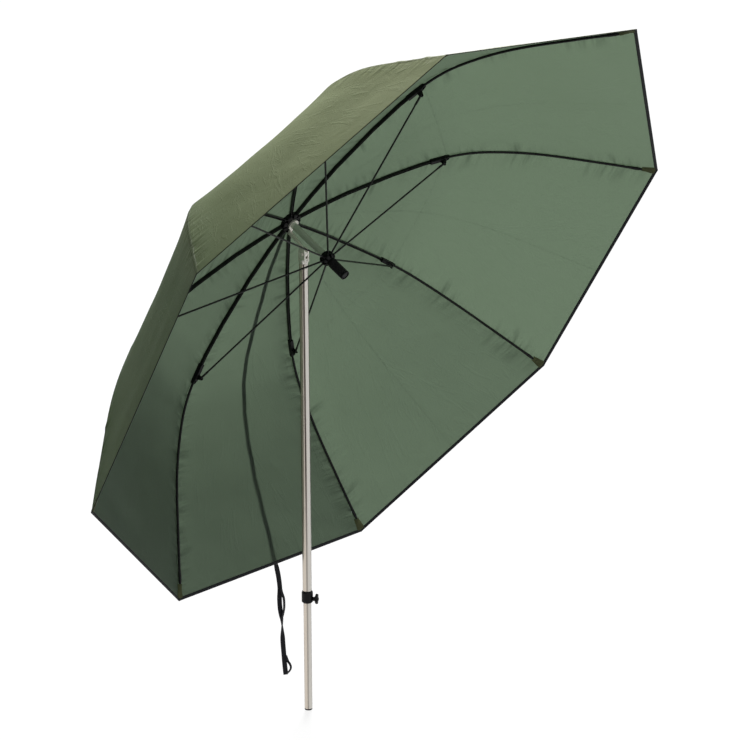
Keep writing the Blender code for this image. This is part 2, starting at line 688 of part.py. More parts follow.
def runner_button():
    inner = TUBE_RADIUS + OVERRUN + 2 * GAP + BUTTON_TRAVEL
    outer = RUNNER_RADIUS + BUTTON_STANDS_OUT
    edge = BUTTON_RADIUS / 4
    button = turned([
        (0, inner), (BUTTON_RADIUS, inner), (BUTTON_RADIUS, outer - edge), (BUTTON_RADIUS - edge, outer),
        (0, outer),
    ], SMALL_FACETS)
    return plain("runner_button", moved(button, button_place()))


def runner_grip():
    """The hand grip below the head, with raised ridges round it."""
    bore = TUBE_RADIUS + 2 * GAP
    low, high = GRIP_TOP, GRIP_TOP + GRIP_LENGTH
    neck = GRIP_LENGTH / 10
    pitch = (GRIP_LENGTH - 2 * neck) / GRIP_RIDGES
    outside = [(GRIP_RADIUS - GRIP_RIDGE_HEIGHT, low)]
    for k in range(GRIP_RIDGES):
        at = low + neck + k * pitch
        outside += [
            (GRIP_RADIUS - GRIP_RIDGE_HEIGHT, at), (GRIP_RADIUS, at + pitch * 0.3),
            (GRIP_RADIUS, at + pitch * 0.7),
        ]
    outside += [
        (GRIP_RADIUS - GRIP_RIDGE_HEIGHT, high - neck), (GRIP_RADIUS, high - neck * 0.6),
        (GRIP_RADIUS, high - neck * 0.25), (GRIP_RADIUS - GRIP_RIDGE_HEIGHT, high),
    ]
    return plain("runner_grip", turned([(bore, low), *outside, (bore, high)], GRIP_FACETS))


def tilt_fork():
    """The pole's head: two cheeks round the bracket, a shoulder on the tube and a plug inside it."""
    seat = -FORK_REACH
    rest = BRACKET_THICKNESS / 2 + GAP
    base = turned([
        (0, seat - FORK_SHOULDER - FORK_PLUG_LENGTH),
        (UPPER_POLE_RADIUS - UPPER_POLE_WALL - GAP, seat - FORK_SHOULDER - FORK_PLUG_LENGTH),
        (UPPER_POLE_RADIUS - UPPER_POLE_WALL - GAP, seat - FORK_SHOULDER),
        (UPPER_POLE_RADIUS, seat - FORK_SHOULDER), (UPPER_POLE_RADIUS, seat), (0, seat),
    ])
    side = BRACKET_EYE_RADIUS
    cheeks = plate(
        [(side, seat - FORK_SHOULDER / 2)]
        + arc((0, FORK_ABOVE_BOLT - side), side, 0, 180, 14)
        + [(-side, seat - FORK_SHOULDER / 2)],
        FORK_HALF_WIDTH,
    )
    floor = -BRACKET_EYE_RADIUS - 2 * GAP
    slot = block((-2 * BRACKET_EYE_RADIUS, -rest, floor), (2 * BRACKET_EYE_RADIUS, rest, 2 * BRACKET_EYE_RADIUS))
    reach = FORK_HALF_WIDTH + OVERRUN
    hole = across(cylinder(BOLT_RADIUS + GAP, -reach, reach))
    return combined("tilt_fork", base, joined=(cheeks,), cut=(slot, hole))


def tilt_bolt():
    """A bolt through the fork and the bracket, with its head on one side and its nut on the other."""
    head = FORK_HALF_WIDTH + GAP
    end = head + BOLT_HEAD_HEIGHT
    profile = [
        (0, -end), (BOLT_HEAD_RADIUS, -end), (BOLT_HEAD_RADIUS, -head), (BOLT_RADIUS, -head),
        (BOLT_RADIUS, head), (BOLT_HEAD_RADIUS, head), (BOLT_HEAD_RADIUS, end), (0, end),
    ]
    return plain("tilt_bolt", across(turned(profile, SMALL_FACETS)))


def clamp_collar():
    """A collar fixed on the upper tube's end; its lower part fits round the inner tube."""
    low = COLLAR_BOTTOM
    high = COLLAR_BOTTOM + COLLAR_HEIGHT
    edge = COLLAR_HEIGHT / 12
    wide = UPPER_POLE_RADIUS + GAP
    narrow = LOWER_POLE_RADIUS + GAP
    base = turned([
        (narrow, low), (COLLAR_RADIUS - edge, low), (COLLAR_RADIUS, low + edge),
        (COLLAR_RADIUS, high - 2 * edge), (COLLAR_RADIUS - edge, high), (wide, high),
        (wide, LOWER_POLE_SHOWN - GAP), (narrow, LOWER_POLE_SHOWN - GAP),
    ])
    hole = moved(
        cylinder(KNOB_SHANK_RADIUS + GAP, 0, COLLAR_RADIUS + OVERRUN, SMALL_FACETS),
        Matrix.Translation((0, 0, KNOB_HEIGHT)) @ knob_turn(),
    )
    return combined("clamp_collar", base, cut=(hole,))


def knob_turn():
    """Turns a shape made along z so that it points out of the collar."""
    return Matrix.Rotation(KNOB_AZIMUTH, 4, "Z") @ Matrix.Rotation(math.radians(90), 4, "Y")


def clamp_knob():
    """A screw with a lobed head, made along z from the pole's axis."""
    tip = LOWER_POLE_RADIUS + GAP
    boss = COLLAR_RADIUS + GAP
    star = boss + KNOB_BOSS_LENGTH
    end = star + KNOB_STAR_THICKNESS
    screw = turned([
        (0, tip), (KNOB_SHANK_RADIUS, tip), (KNOB_SHANK_RADIUS, boss), (KNOB_BOSS_RADIUS, boss),
        (KNOB_BOSS_RADIUS, star + KNOB_STAR_THICKNESS / 2),
        (KNOB_BOSS_RADIUS * 0.7, end + KNOB_STAR_THICKNESS / 4), (0, end + KNOB_STAR_THICKNESS / 4),
    ], SMALL_FACETS)
    steps = KNOB_LOBES * 6
    angles = [k * math.tau / steps for k in range(steps)]
    swell = [1 - (1 - KNOB_LOBE_SHARE) * (1 - math.cos(KNOB_LOBES * a)) / 2 for a in angles]
    rings = []
    for height, share in ((star, 0.86), (star + KNOB_STAR_THICKNESS / 4, 1), (end, 0.9)):
        rings.append([
            (KNOB_STAR_RADIUS * s * share * math.cos(a), KNOB_STAR_RADIUS * s * share * math.sin(a), height)
            for a, s in zip(angles, swell)
        ])
    return plain("clamp_knob", moved(joined_mesh("knob_star", loft(rings), screw), knob_turn()))


def joined_mesh(name, base, other):
    """Two shapes made one, back as a working mesh."""
    data = combined(name, base, joined=(other,))
    mesh = bmesh.new()
    mesh.from_mesh(data)
    bpy.data.meshes.remove(data)
    return mesh


def foot_plug():
    edge = FOOT_THICKNESS / 4
    spigot = LOWER_POLE_RADIUS - LOWER_POLE_WALL - GAP
    return plain("foot_plug", turned([
        (0, 0), (LOWER_POLE_RADIUS - edge, 0), (LOWER_POLE_RADIUS, edge), (LOWER_POLE_RADIUS, FOOT_THICKNESS),
        (spigot, FOOT_THICKNESS), (spigot, FOOT_THICKNESS + FOOT_SPIGOT_LENGTH),
        (0, FOOT_THICKNESS + FOOT_SPIGOT_LENGTH),
    ]))


def rib_angle(index):
    """The turn of a rib's plane about the centre tube, from the gap through which the pole swings."""
    return SECTOR * (RIB_COUNT / 2 - 0.5 - index)


def build_pole(metal, plastic, steel):
    place("foot_plug", foot_plug(), plastic)
    low = FOOT_THICKNESS + GAP
    inner = LOWER_POLE_RADIUS - LOWER_POLE_WALL
    lower = tube_solid(LOWER_POLE_RADIUS, inner, low, LOWER_POLE_SHOWN + LOWER_POLE_INSIDE)
    place("lower_pole", plain("lower_pole", lower), metal)
    inner = UPPER_POLE_RADIUS - UPPER_POLE_WALL
    high = LOWER_POLE_SHOWN + UPPER_POLE_LENGTH
    place("upper_pole", plain("upper_pole", tube_solid(UPPER_POLE_RADIUS, inner, LOWER_POLE_SHOWN, high)), metal)
    place("clamp_collar", clamp_collar(), plastic)
    place("clamp_knob", clamp_knob(), plastic, frame_at("knob_axis", None, (0, 0, KNOB_HEIGHT)))
    pivot = frame_at("tilt_pivot", None, (0, 0, PIVOT_HEIGHT))
    place("tilt_fork", tilt_fork(), steel, pivot)
    place("tilt_bolt", tilt_bolt(), steel, pivot)


def build_crown(canopy, plastic, tube, steel):
    place("crown_hub", crown_hub(), plastic, canopy)
    place("crown_cap", crown_cap(), plastic, canopy)
    place("crown_wire", plain("crown_wire", ring_wire(RIB_PIN_CIRCLE, CROWN_WIRE_RADIUS)), steel, canopy)
    place("tilt_bracket", tilt_bracket(), steel, canopy)
    place("centre_tube", centre_tube(), tube, canopy)
    place("tube_plug", tube_plug(), plastic, canopy)


def build_runner(runner, plastic, steel):
    place("runner_head", runner_head(), plastic, runner)
    place("runner_grip", runner_grip(), plastic, runner)
    wire = plain("runner_wire", ring_wire(STRETCHER_PIN_CIRCLE, RUNNER_WIRE_RADIUS))
    place("runner_wire", wire, steel, runner)
    place("runner_button", runner_button(), plastic, runner)


def build_ribs(canopy, plastic, coated, cloth):
    """Each rib's pieces hang on empties at its own hinges; the eight ribs share their meshes."""
    shapes = {
        "rib_inner": inner_rib(), "rib_joint": rib_joint(), "rib_outer": outer_rod(),
        "stretcher": stretcher(), "canopy_panel": canopy_panel(),
    }
    pins = {}
    for i, letter in enumerate(RIB_LETTERS):
        plane = frame_at(f"rib_plane_{letter}", canopy, (0, 0, 0), (0, 0, rib_angle(i)))
        pin = frame_at(f"rib_pin_{letter}", plane, (RIB_PIN_CIRCLE, 0, 0))
        knee = frame_at(f"knee_{letter}", pin, (KNEE_RADIUS - RIB_PIN_CIRCLE, 0, KNEE_DEPTH))
        eye = frame_at(f"stretcher_pin_{letter}", plane, (STRETCHER_PIN_CIRCLE, 0, RUNNER_DEPTH))
        place(f"rib_inner_{letter}", shapes["rib_inner"], coated, pin)
        place(f"rib_joint_{letter}", shapes["rib_joint"], plastic, pin)
        place(f"rib_outer_{letter}", shapes["rib_outer"], coated, knee)
        place(f"stretcher_{letter}", shapes["stretcher"], coated, eye)
        place(f"canopy_panel_{letter}", shapes["canopy_panel"], cloth, pin)
        pins[letter] = pin
    return pins


def build_straps(pin, webbing):
    place("strap_band", strap_band(), webbing, pin)
    bpy.context.view_layer.update()
    centre, along, out = band_section(CANOPY_RADIUS)
    turn = pin.matrix_world.to_3x3()
    place("tie_strap", strap_tail(pin.matrix_world @ centre, turn @ along, turn @ out), webbing)


def main():
    clear_scene()
    chrome = finish("polished_aluminium", (0.80, 0.79, 0.77), 0.18, 1.0)
    grey_tube = finish("satin_aluminium", (0.42, 0.47, 0.42), 0.35, 1.0)
    steel = finish("zinc_plated_steel", (0.62, 0.62, 0.60), 0.35, 1.0)
    coated = finish("black_coated_steel", (0.012, 0.014, 0.013), 0.4)
    plastic = finish("black_moulded_plastic", (0.010, 0.010, 0.012), 0.45)
    cloth = finish("green_canopy_cloth", (0.12, 0.16, 0.10), 0.7)
    webbing = finish("black_webbing", (0.010, 0.010, 0.013), 0.8)
    build_pole(chrome, plastic, steel)
    pivot = frame_at("canopy_tilt", None, (0, 0, PIVOT_HEIGHT), (math.pi, TILT, 0))
    pivot.rotation_euler = Matrix((
        (-math.cos(TILT), 0, math.sin(TILT)), (0, 1, 0), (-math.sin(TILT), 0, -math.cos(TILT)),
    )).to_euler()
    canopy = frame_at("canopy_frame", pivot, (-TILT_OFFSET, 0, -TILT_DROP))
    runner = frame_at("runner_frame", canopy, (0, 0, RUNNER_DEPTH))
    build_crown(canopy, plastic, grey_tube, steel)
    build_runner(runner, plastic, steel)
    pins = build_ribs(canopy, plastic, coated, cloth)
    build_straps(pins["D"], webbing)


main()
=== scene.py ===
import functools
import json
import math

import bmesh
import bpy
from mathutils import Matrix, Vector, noise


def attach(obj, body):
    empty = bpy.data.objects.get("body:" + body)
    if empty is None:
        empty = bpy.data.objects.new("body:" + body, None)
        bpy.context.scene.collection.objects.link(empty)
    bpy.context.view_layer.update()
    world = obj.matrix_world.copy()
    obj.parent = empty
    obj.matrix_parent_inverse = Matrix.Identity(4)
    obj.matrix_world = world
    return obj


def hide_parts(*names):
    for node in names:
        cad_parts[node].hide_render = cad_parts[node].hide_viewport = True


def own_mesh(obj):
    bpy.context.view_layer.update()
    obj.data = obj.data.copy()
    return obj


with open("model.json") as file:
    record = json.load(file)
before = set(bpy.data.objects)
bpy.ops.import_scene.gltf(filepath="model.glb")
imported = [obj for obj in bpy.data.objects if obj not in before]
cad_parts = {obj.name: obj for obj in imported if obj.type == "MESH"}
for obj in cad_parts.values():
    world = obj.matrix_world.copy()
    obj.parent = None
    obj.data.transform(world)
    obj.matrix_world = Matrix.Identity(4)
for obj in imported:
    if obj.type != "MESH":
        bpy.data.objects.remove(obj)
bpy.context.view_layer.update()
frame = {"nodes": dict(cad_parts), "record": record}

# The canopy's own frame: x across it towards the pole's gap, y along the tilt bolt, z down its axis.
TILT = math.radians(59)
BOLT = Vector((0, 0, 1.3103))
BOLT_IN_CANOPY = Vector((0.044, 0, 0.082))
TURNED = Matrix((
    (-math.cos(TILT), 0, math.sin(TILT)), (0, 1, 0), (-math.sin(TILT), 0, -math.cos(TILT)),
)).to_4x4()
CANOPY = Matrix.Translation(BOLT) @ TURNED @ Matrix.Translation(-BOLT_IN_CANOPY)
LETTERS = "ABCDEFGH"
SECTOR = math.tau / len(LETTERS)
HALF = SECTOR / 2
STRAP_RIB = LETTERS.index("D")

TIP_RADIUS = 0.955
KNEE = 0.53 * TIP_RADIUS
RIB_RADII = (0.0, 0.04, 0.10, 0.20, 0.35, 0.50, 0.60, 0.68, 0.76, 0.88, 1.0)
RIB_DEPTHS = (0.0, 0.0, 0.002, 0.009, 0.029, 0.060, 0.098, 0.150, 0.216, 0.338, 0.466)
# The cloth's height above the ribs' centre line, to clear the channel, the joint and the rod
LIFT_RADII = (0.0, 0.30, 0.43, 0.475, 0.575, 0.65, 0.90, 0.95, 1.0)
LIFTS = (0.0056, 0.0058, 0.0062, 0.0074, 0.0074, 0.0048, 0.0048, 0.0058, 0.0058)
CROWN_HOLE = 0.0142
CLOTH = 0.0005
SAG = 0.008
# Soft waves of the free cloth: how many to a metre, and how high they stand.
BROAD_WAVES, BROAD_HEIGHT = 3.7, 0.0034
SMALL_WAVES, SMALL_HEIGHT = 11.0, 0.0015
# Puckers along the seams: how far they reach into the cloth, more or less, and how high they stand.
PUCKER_REACH, REACH_VARIES = 0.026, 0.022
PUCKER_HEIGHT = 0.0055
# The shares of the tip's radius between which the crown lets the waves begin, and the rim holds them flat.
WAVES_BEGIN = (0.05, 0.30)
WAVES_END = (0.945, 0.995)
# The step over which a slope is measured, and the distance within which doubled points are one.
STEP = 0.001
MERGE = 1e-6
# The share of its width that the folded cloth keeps: towards the crown, and towards the rim. Nothing in this
# script folds the cloth, so they are not used.
CROWN_FOLDED = 0.15
RIM_FOLDED = 0.11


# Shapes

def smooth_curve(place, places, values):
    """A curve through the points with the mean of the neighbouring slopes at each."""
    last = len(places) - 1
    slopes = [(values[i + 1] - values[i]) / (places[i + 1] - places[i]) for i in range(last)]
    bends = [slopes[0]] + [(a + b) / 2 for a, b in zip(slopes, slopes[1:])] + [slopes[-1]]
    i = max([k for k in range(last) if place >= places[k]] or [0])
    width = places[i + 1] - places[i]
    t = (place - places[i]) / width
    return (
        (2 * t**3 - 3 * t**2 + 1) * values[i] + (t**3 - 2 * t**2 + t) * width * bends[i]
        + (-2 * t**3 + 3 * t**2) * values[i + 1] + (t**3 - t**2) * width * bends[i + 1]
    )


def rib_depth(radius):
    return TIP_RADIUS * smooth_curve(radius / TIP_RADIUS, RIB_RADII, RIB_DEPTHS)


@functools.lru_cache(maxsize=None)
def rib_row(radius):
    """The rib's lean below the square to the canopy's axis, its depth and the cloth's lift, at a radius."""
    lean = math.atan2(rib_depth(radius + STEP) - rib_depth(radius - STEP), 2 * STEP)
    share = min(radius / TIP_RADIUS, 0.9999)
    i = max(k for k in range(len(LIFT_RADII) - 1) if share >= LIFT_RADII[k])
    lift = LIFTS[i] + ease(LIFT_RADII[i], LIFT_RADII[i + 1], share) * (LIFTS[i + 1] - LIFTS[i])
    return lean, rib_depth(radius), lift


@functools.lru_cache(maxsize=None)
def length_along_rib(radius):
    steps = 200
    runs = [
        1 / math.cos(rib_row(round(radius * (k + 0.5) / steps, 6))[0]) for k in range(steps)
    ]
    return sum(runs) * radius / steps


def rib_plane(index):
    """The frame of a rib's plane: x out along the rib, y square to its plane, z down the canopy's axis."""
    gap_to_rib_a = 3.5
    return CANOPY @ Matrix.Rotation(SECTOR * (gap_to_rib_a - index), 4, "Z")


def ease(low, high, value):
    t = min(max((value - low) / (high - low), 0), 1)
    return t * t * (3 - 2 * t)


def outwards(radius, across):
    """The cloth's outward direction in the rib's plane frame."""
    lean = rib_row(radius)[0]
    turn = HALF * across
    return Vector((math.cos(turn) * math.sin(lean), math.sin(turn) * math.sin(lean), -math.cos(lean)))


PLANES = [rib_plane(index) for index in range(len(LETTERS))]


def cloth_point(index, radius, across, height=0.0):
    """A point of the canopy's cloth in a rib's plane frame; across runs from -1 to 1 between mid gores.

    The cloth sags a little between the ribs, waves softly, and is drawn into short puckers by the stitches
    along each rib. All of it fades towards the rim, where the binding holds the cloth taut.
    """
    lean, depth, lift = rib_row(radius)
    out = radius + lift * math.sin(lean)
    half_chord = out * math.sin(HALF)
    distance = abs(across) * half_chord
    side = math.copysign(1, across)
    share = radius / TIP_RADIUS
    sag = SAG * math.sin(math.pi * min(share, 1)) ** 2 * (2 * abs(across) - across * across)
    flat = Vector((
        out - distance * math.sin(HALF),
        side * distance * math.cos(HALF),
        depth - lift * math.cos(lean) + sag,
    ))
    spot = PLANES[index] @ flat
    free = 1 - ease(*WAVES_END, share)
    soft = BROAD_HEIGHT * noise.noise(spot * BROAD_WAVES)
    soft += SMALL_HEIGHT * noise.noise(spot * SMALL_WAVES + Vector((7, 3, 1)))
    soft *= ease(*WAVES_BEGIN, share) * ease(0.0, 0.35, abs(across))
    reach = PUCKER_REACH + REACH_VARIES * noise.noise(Vector((radius * 6.0, index * 7.3, side * 2.1)))
    near = math.exp(-((distance / reach) ** 2)) * ease(0.0, 0.006, distance) * ease(0.08, 0.2, share)
    strong = 0.35 + 0.65 * ease(-0.15, 0.3, noise.noise(Vector((radius * 4.2, index * 3.9, side * 5.7))))
    pucker = noise.noise(Vector((radius * 46 + distance * 9, index * 5.7, side * 3.3)))
    pucker += 0.5 * noise.noise(Vector((radius * 95 - distance * 14, index * 2.2, side * 9.1)))
    raised = height + free * (soft + PUCKER_HEIGHT * near * strong * pucker)
    return flat + outwards(radius, across) * raised


def cloth_facing(index, radius, across):
    """The cloth's outward normal in the rib's plane frame, smooth over the seams between its pieces."""
    reach, off_seam, share_aside = 0.0008, 0.0005, 0.003
    along = -reach if radius > KNEE else reach
    total = Vector()
    for side in ((1, -1) if across == 0 else (math.copysign(1, across),)):
        near = off_seam * side if across == 0 else across
        aside = near - share_aside * side if abs(near) > 0.5 else near + share_aside * side
        here = cloth_point(index, radius, near)
        down = (cloth_point(index, radius + along, near) - here) * (1 if along > 0 else -1)
        over = (cloth_point(index, radius, aside) - here) * (1 if aside > near else -1)
        total += over.cross(down).normalized()
    total.normalize()
    return total if total.z < 0 else -total


def place_mesh(name, mesh, materials, matrix=None, smooth=35):
    """The finished object at the origin, with its place in its mesh; edges sharper than smooth stay sharp."""
    if matrix is not None:
        mesh.transform(matrix)
    bmesh.ops.remove_doubles(mesh, verts=mesh.verts, dist=MERGE)
    data = bpy.data.meshes.new(name)
    mesh.to_mesh(data)
    mesh.free()
    for material in materials:
        data.materials.append(material)
    data.shade_smooth()
    if smooth < 180:
        data.set_sharp_from_angle(angle=math.radians(smooth))
    piece = bpy.data.objects.new(name, data)
    bpy.context.scene.collection.objects.link(piece)
    return piece


def fold_in(piece):
    """Gives the piece a mesh of its own."""
    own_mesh(piece)


def fit(piece, body, slot, *nodes):
    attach(piece, body)
    if nodes:
        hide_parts(*nodes)
    return piece


def swept(rings):
    """A closed solid drawn through rings of points."""
    mesh = bmesh.new()
    ring = [mesh.verts.new(point) for point in rings[0]]
    face = mesh.faces.new(ring)
    inner = []
    for points in rings[1:]:
        made = bmesh.ops.extrude_face_region(mesh, geom=[face])["geom"]
        inner.append(face)
        fresh = [item for item in made if isinstance(item, bmesh.types.BMVert)]
        face = [item for item in made if isinstance(item, bmesh.types.BMFace)][0]
        ring = [min(fresh, key=lambda vert: (vert.co - old.co).length_squared) for old in ring]
        for vert, point in zip(ring, points):
            vert.co = point
    bmesh.ops.delete(mesh, geom=inner[1:], context="FACES_ONLY")
    bmesh.ops.recalc_face_normals(mesh, faces=mesh.faces)
    if mesh.calc_volume(signed=True) < 0:
        bmesh.ops.reverse_faces(mesh, faces=mesh.faces)
    return mesh


def turned(profile, steps=64):
    """A solid turned about z from points (radius, height)."""
    mesh = bmesh.new()
    verts = [mesh.verts.new((radius, 0, height)) for radius, height in profile]
    on_axis = profile[0][0] == 0 and profile[-1][0] == 0
    pairs = list(zip(verts, verts[1:])) + ([] if on_axis else [(verts[-1], verts[0])])
    edges = [mesh.edges.new(pair) for pair in pairs]
    bmesh.ops.spin(
        mesh, geom=verts + edges, cent=(0, 0, 0), axis=(0, 0, 1), angle=math.tau, steps=steps, use_merge=True
    )
    bmesh.ops.remove_doubles(mesh, verts=mesh.verts, dist=MERGE)
    bmesh.ops.recalc_face_normals(mesh, faces=mesh.faces)
    if mesh.calc_volume(signed=True) < 0:
        bmesh.ops.reverse_faces(mesh, faces=mesh.faces)
    return mesh


# Materials

def colour(hex_code):
    """An sRGB hex colour as linear values."""
    parts = [int(hex_code[i:i + 2], 16) / 255 for i in (1, 3, 5)]
    return (*(p / 12.92 if p <= 0.04045 else ((p + 0.055) / 1.055) ** 2.4 for p in parts), 1.0)


def add(tree, kind, inputs=None, **settings):
    """A node with its settings, and its sockets set or linked."""
    made = tree.nodes.new(kind)
    for key, value in settings.items():
        setattr(made, key, value)
    for socket, value in (inputs or {}).items():
        if isinstance(value, bpy.types.NodeSocket):
            tree.links.new(value, made.inputs[socket])
        else:
            made.inputs[socket].default_value = value
    return made


def started(name):
    """A material with its tree and its Principled shader."""
    material = bpy.data.materials.new(name)
    material.use_nodes = True
    tree = material.node_tree
    return material, tree, tree.nodes["Principled BSDF"]


def product(tree, first, second):
    return add(tree, "ShaderNodeMath", {0: first, 1: second}, operation="MULTIPLY").outputs[0]


def blended(tree, factor, first, second, blend="MIX"):
    mixed = add(tree, "ShaderNodeMix", {0: factor, 6: first, 7: second}, data_type="RGBA", blend_type=blend)
    return mixed.outputs[2]


def ramp(tree, value, start, end, low=0.0, high=1.0, soft=False):
    """Low where the value is at start and high where it is at end; soft eases both ends."""
    mapped = add(tree, "ShaderNodeMapRange", {
        "Value": value, "From Min": start, "From Max": end, "To Min": low, "To Max": high,
    }, interpolation_type="SMOOTHSTEP" if soft else "LINEAR")
    return mapped.outputs[0]


def cloth_material(name, face, shade, creased, through, share, crumple, top_lit_colour, top_light_most, specular):
    """Coated polyester taffeta: a fine plain weave under a thin film, crumpled a little, sewn at the ribs.

    Its colour varies between face and shade, with paler lines where it was creased. A share of the light
    passes through it, in the colour through. Towards the top its colour is painted lighter, as painted
    light from the sky, at most by the share given for it.
    """
    material, tree, shader = started(name)
    places = add(tree, "ShaderNodeTexCoord")
    uv, spot = places.outputs["UV"], places.outputs["Object"]
    parts = add(tree, "ShaderNodeSeparateXYZ", {0: uv})
    from_seam = add(tree, "ShaderNodeMath", {0: parts.outputs[0]}, operation="ABSOLUTE").outputs[0]
    # Threads 0.35 mm apart are drawn at 1.4 mm, so that a close view shows them.
    threads = 224.0
    warp = add(tree, "ShaderNodeTexWave", {"Vector": uv, "Scale": threads}, bands_direction="X")
    weft = add(tree, "ShaderNodeTexWave", {"Vector": uv, "Scale": threads}, bands_direction="Y")
    weave = product(tree, warp.outputs["Fac"], weft.outputs["Fac"])
    broad = add(tree, "ShaderNodeTexNoise", {"Vector": spot, "Scale": 2.6, "Detail": 3.0, "Roughness": 0.5})
    crease = add(tree, "ShaderNodeTexNoise", {
        "Vector": spot, "Scale": 15.0, "Detail": 5.0, "Roughness": 0.58, "Distortion": 1.4,
    })
    # The seam: a felled ridge 8 mm wide with two rows of stitches, 3 mm a stitch.
    stitches = 104.0
    ridge = ramp(tree, from_seam, 0.0046, 0.0036, soft=True)
    row = add(tree, "ShaderNodeMath", {0: from_seam, 1: 0.0027, 2: 0.0005}, operation="COMPARE")
    stitch = add(tree, "ShaderNodeTexWave", {"Vector": uv, "Scale": stitches}, bands_direction="Y")
    held = product(tree, row.outputs[0], stitch.outputs["Fac"])
    # Long fine creases that run out along the cloth, as left by rolling it up.
    rolled = add(tree, "ShaderNodeMapping", {"Vector": uv, "Scale": (34.0, 7.0, 1.0)})
    roll = add(tree, "ShaderNodeTexNoise", {
        "Vector": rolled.outputs[0], "Scale": 1.0, "Detail": 5.0, "Roughness": 0.62, "Distortion": 1.8,
    })
    sharp = ramp(tree, roll.outputs["Fac"], 0.52, 0.66, soft=True)
    # Gathers beside the seam, drawn in by the stitches.
    along = add(tree, "ShaderNodeMapping", {"Vector": uv, "Scale": (7.0, 54.0, 1.0)})
    gather = add(tree, "ShaderNodeTexNoise", {"Vector": along.outputs[0], "Scale": 1.0, "Detail": 2.0})
    near = ramp(tree, from_seam, 0.075, 0.004, soft=True)
    drawn = product(tree, gather.outputs["Fac"], near)
    # Some of the gathers are tucks, in patches along the seam; they are painted darker, a painted fold shade
    # in the colour and in the light through.
    patches = add(tree, "ShaderNodeMapping", {"Vector": uv, "Scale": (1.5, 6.5, 1.0)})
    patchy = add(tree, "ShaderNodeTexNoise", {"Vector": patches.outputs[0], "Scale": 1.0, "Detail": 1.0})
    where = ramp(tree, patchy.outputs["Fac"], 0.41, 0.60, soft=True)
    folded = ramp(tree, gather.outputs["Fac"], 0.42, 0.74, soft=True)
    painted_tuck_shade = product(tree, product(tree, product(tree, folded, near), where), 0.30)
    bump = add(tree, "ShaderNodeBump", {
        "Height": crease.outputs["Fac"], "Distance": 0.006, "Strength": crumple,
    })
    for height, distance, strength in (
        (sharp, 0.0022, crumple), (drawn, 0.007, 0.6), (ridge, 0.0007, 0.8), (held, -0.0004, 0.8),
        (weave, 0.00012, 0.5),
    ):
        bump = add(tree, "ShaderNodeBump", {
            "Height": height, "Distance": distance, "Strength": strength, "Normal": bump.outputs[0],
        })
    tint = ramp(tree, broad.outputs["Fac"], 0.3, 0.7)
    # Painted light: the colour is lightened towards the top, where the daylight falls.
    top_light_mask = ramp(tree, add(tree, "ShaderNodeSeparateXYZ", {0: spot}).outputs[2], 1.42, 2.00, high=top_light_most)
    paler = product(tree, sharp, 0.6 * crumple)
    doubled = product(tree, ridge, 0.30)
    base = blended(tree, tint, colour(face), colour(shade))
    # Painted lighter towards the top as light from the sky, paler along the creases, darker where the seam
    # doubles it, and darkened along the tucks as painted fold shade.
    base = blended(tree, top_light_mask, base, colour(top_lit_colour))
    base = blended(tree, paler, base, colour(creased))
    base = blended(tree, doubled, base, colour(shade), "MULTIPLY")
    # Painted shade: the tucks darken the colour as fold shadows.
    base = blended(tree, painted_tuck_shade, base, colour("#2E3A30"))
    tree.links.new(base, shader.inputs["Base Color"])
    gloss = ramp(tree, weave, 0.0, 1.0, 0.60, 0.48)
    tree.links.new(gloss, shader.inputs["Roughness"])
    tree.links.new(bump.outputs[0], shader.inputs["Normal"])
    shader.inputs["Specular IOR Level"].default_value = specular
    # Less light comes through along the seam, where it is doubled, and the tucks darken it as painted fold
    # shade.
    passed = blended(tree, painted_tuck_shade, colour(through), colour("#3C4A3C"))
    passed = blended(tree, doubled, passed, colour(through), "MULTIPLY")
    behind = add(tree, "ShaderNodeBsdfTranslucent", {"Color": passed, "Normal": bump.outputs[0]})
    both = add(tree, "ShaderNodeMixShader", {0: share, 1: shader.outputs[0], 2: behind.outputs[0]})
    tree.links.new(both.outputs[0], tree.nodes["Material Output"].inputs["Surface"])
    return material


def webbing_material(name, thread, gap, pitch):
    """Woven polypropylene tape: a herringbone of flat yarns across its width."""
    material, tree, shader = started(name)
    band_at_scale_1 = 0.314
    uv = add(tree, "ShaderNodeTexCoord").outputs["UV"]
    across = add(tree, "ShaderNodeTexWave", {
        "Vector": uv, "Scale": band_at_scale_1 / pitch,
    }, bands_direction="X")
    slant = add(tree, "ShaderNodeTexWave", {
        "Vector": uv, "Scale": 0.2 / pitch, "Distortion": 0.4, "Detail": 1.0,
    }, bands_direction="DIAGONAL")
    both = product(tree, across.outputs["Fac"], slant.outputs["Fac"])
    bump = add(tree, "ShaderNodeBump", {"Height": both, "Distance": 0.0004, "Strength": 0.7})
    tree.links.new(blended(tree, both, colour(gap), colour(thread)), shader.inputs["Base Color"])
    tree.links.new(bump.outputs[0], shader.inputs["Normal"])
    shader.inputs["Roughness"].default_value = 0.7
    shader.inputs["Specular IOR Level"].default_value = 0.25
    return material


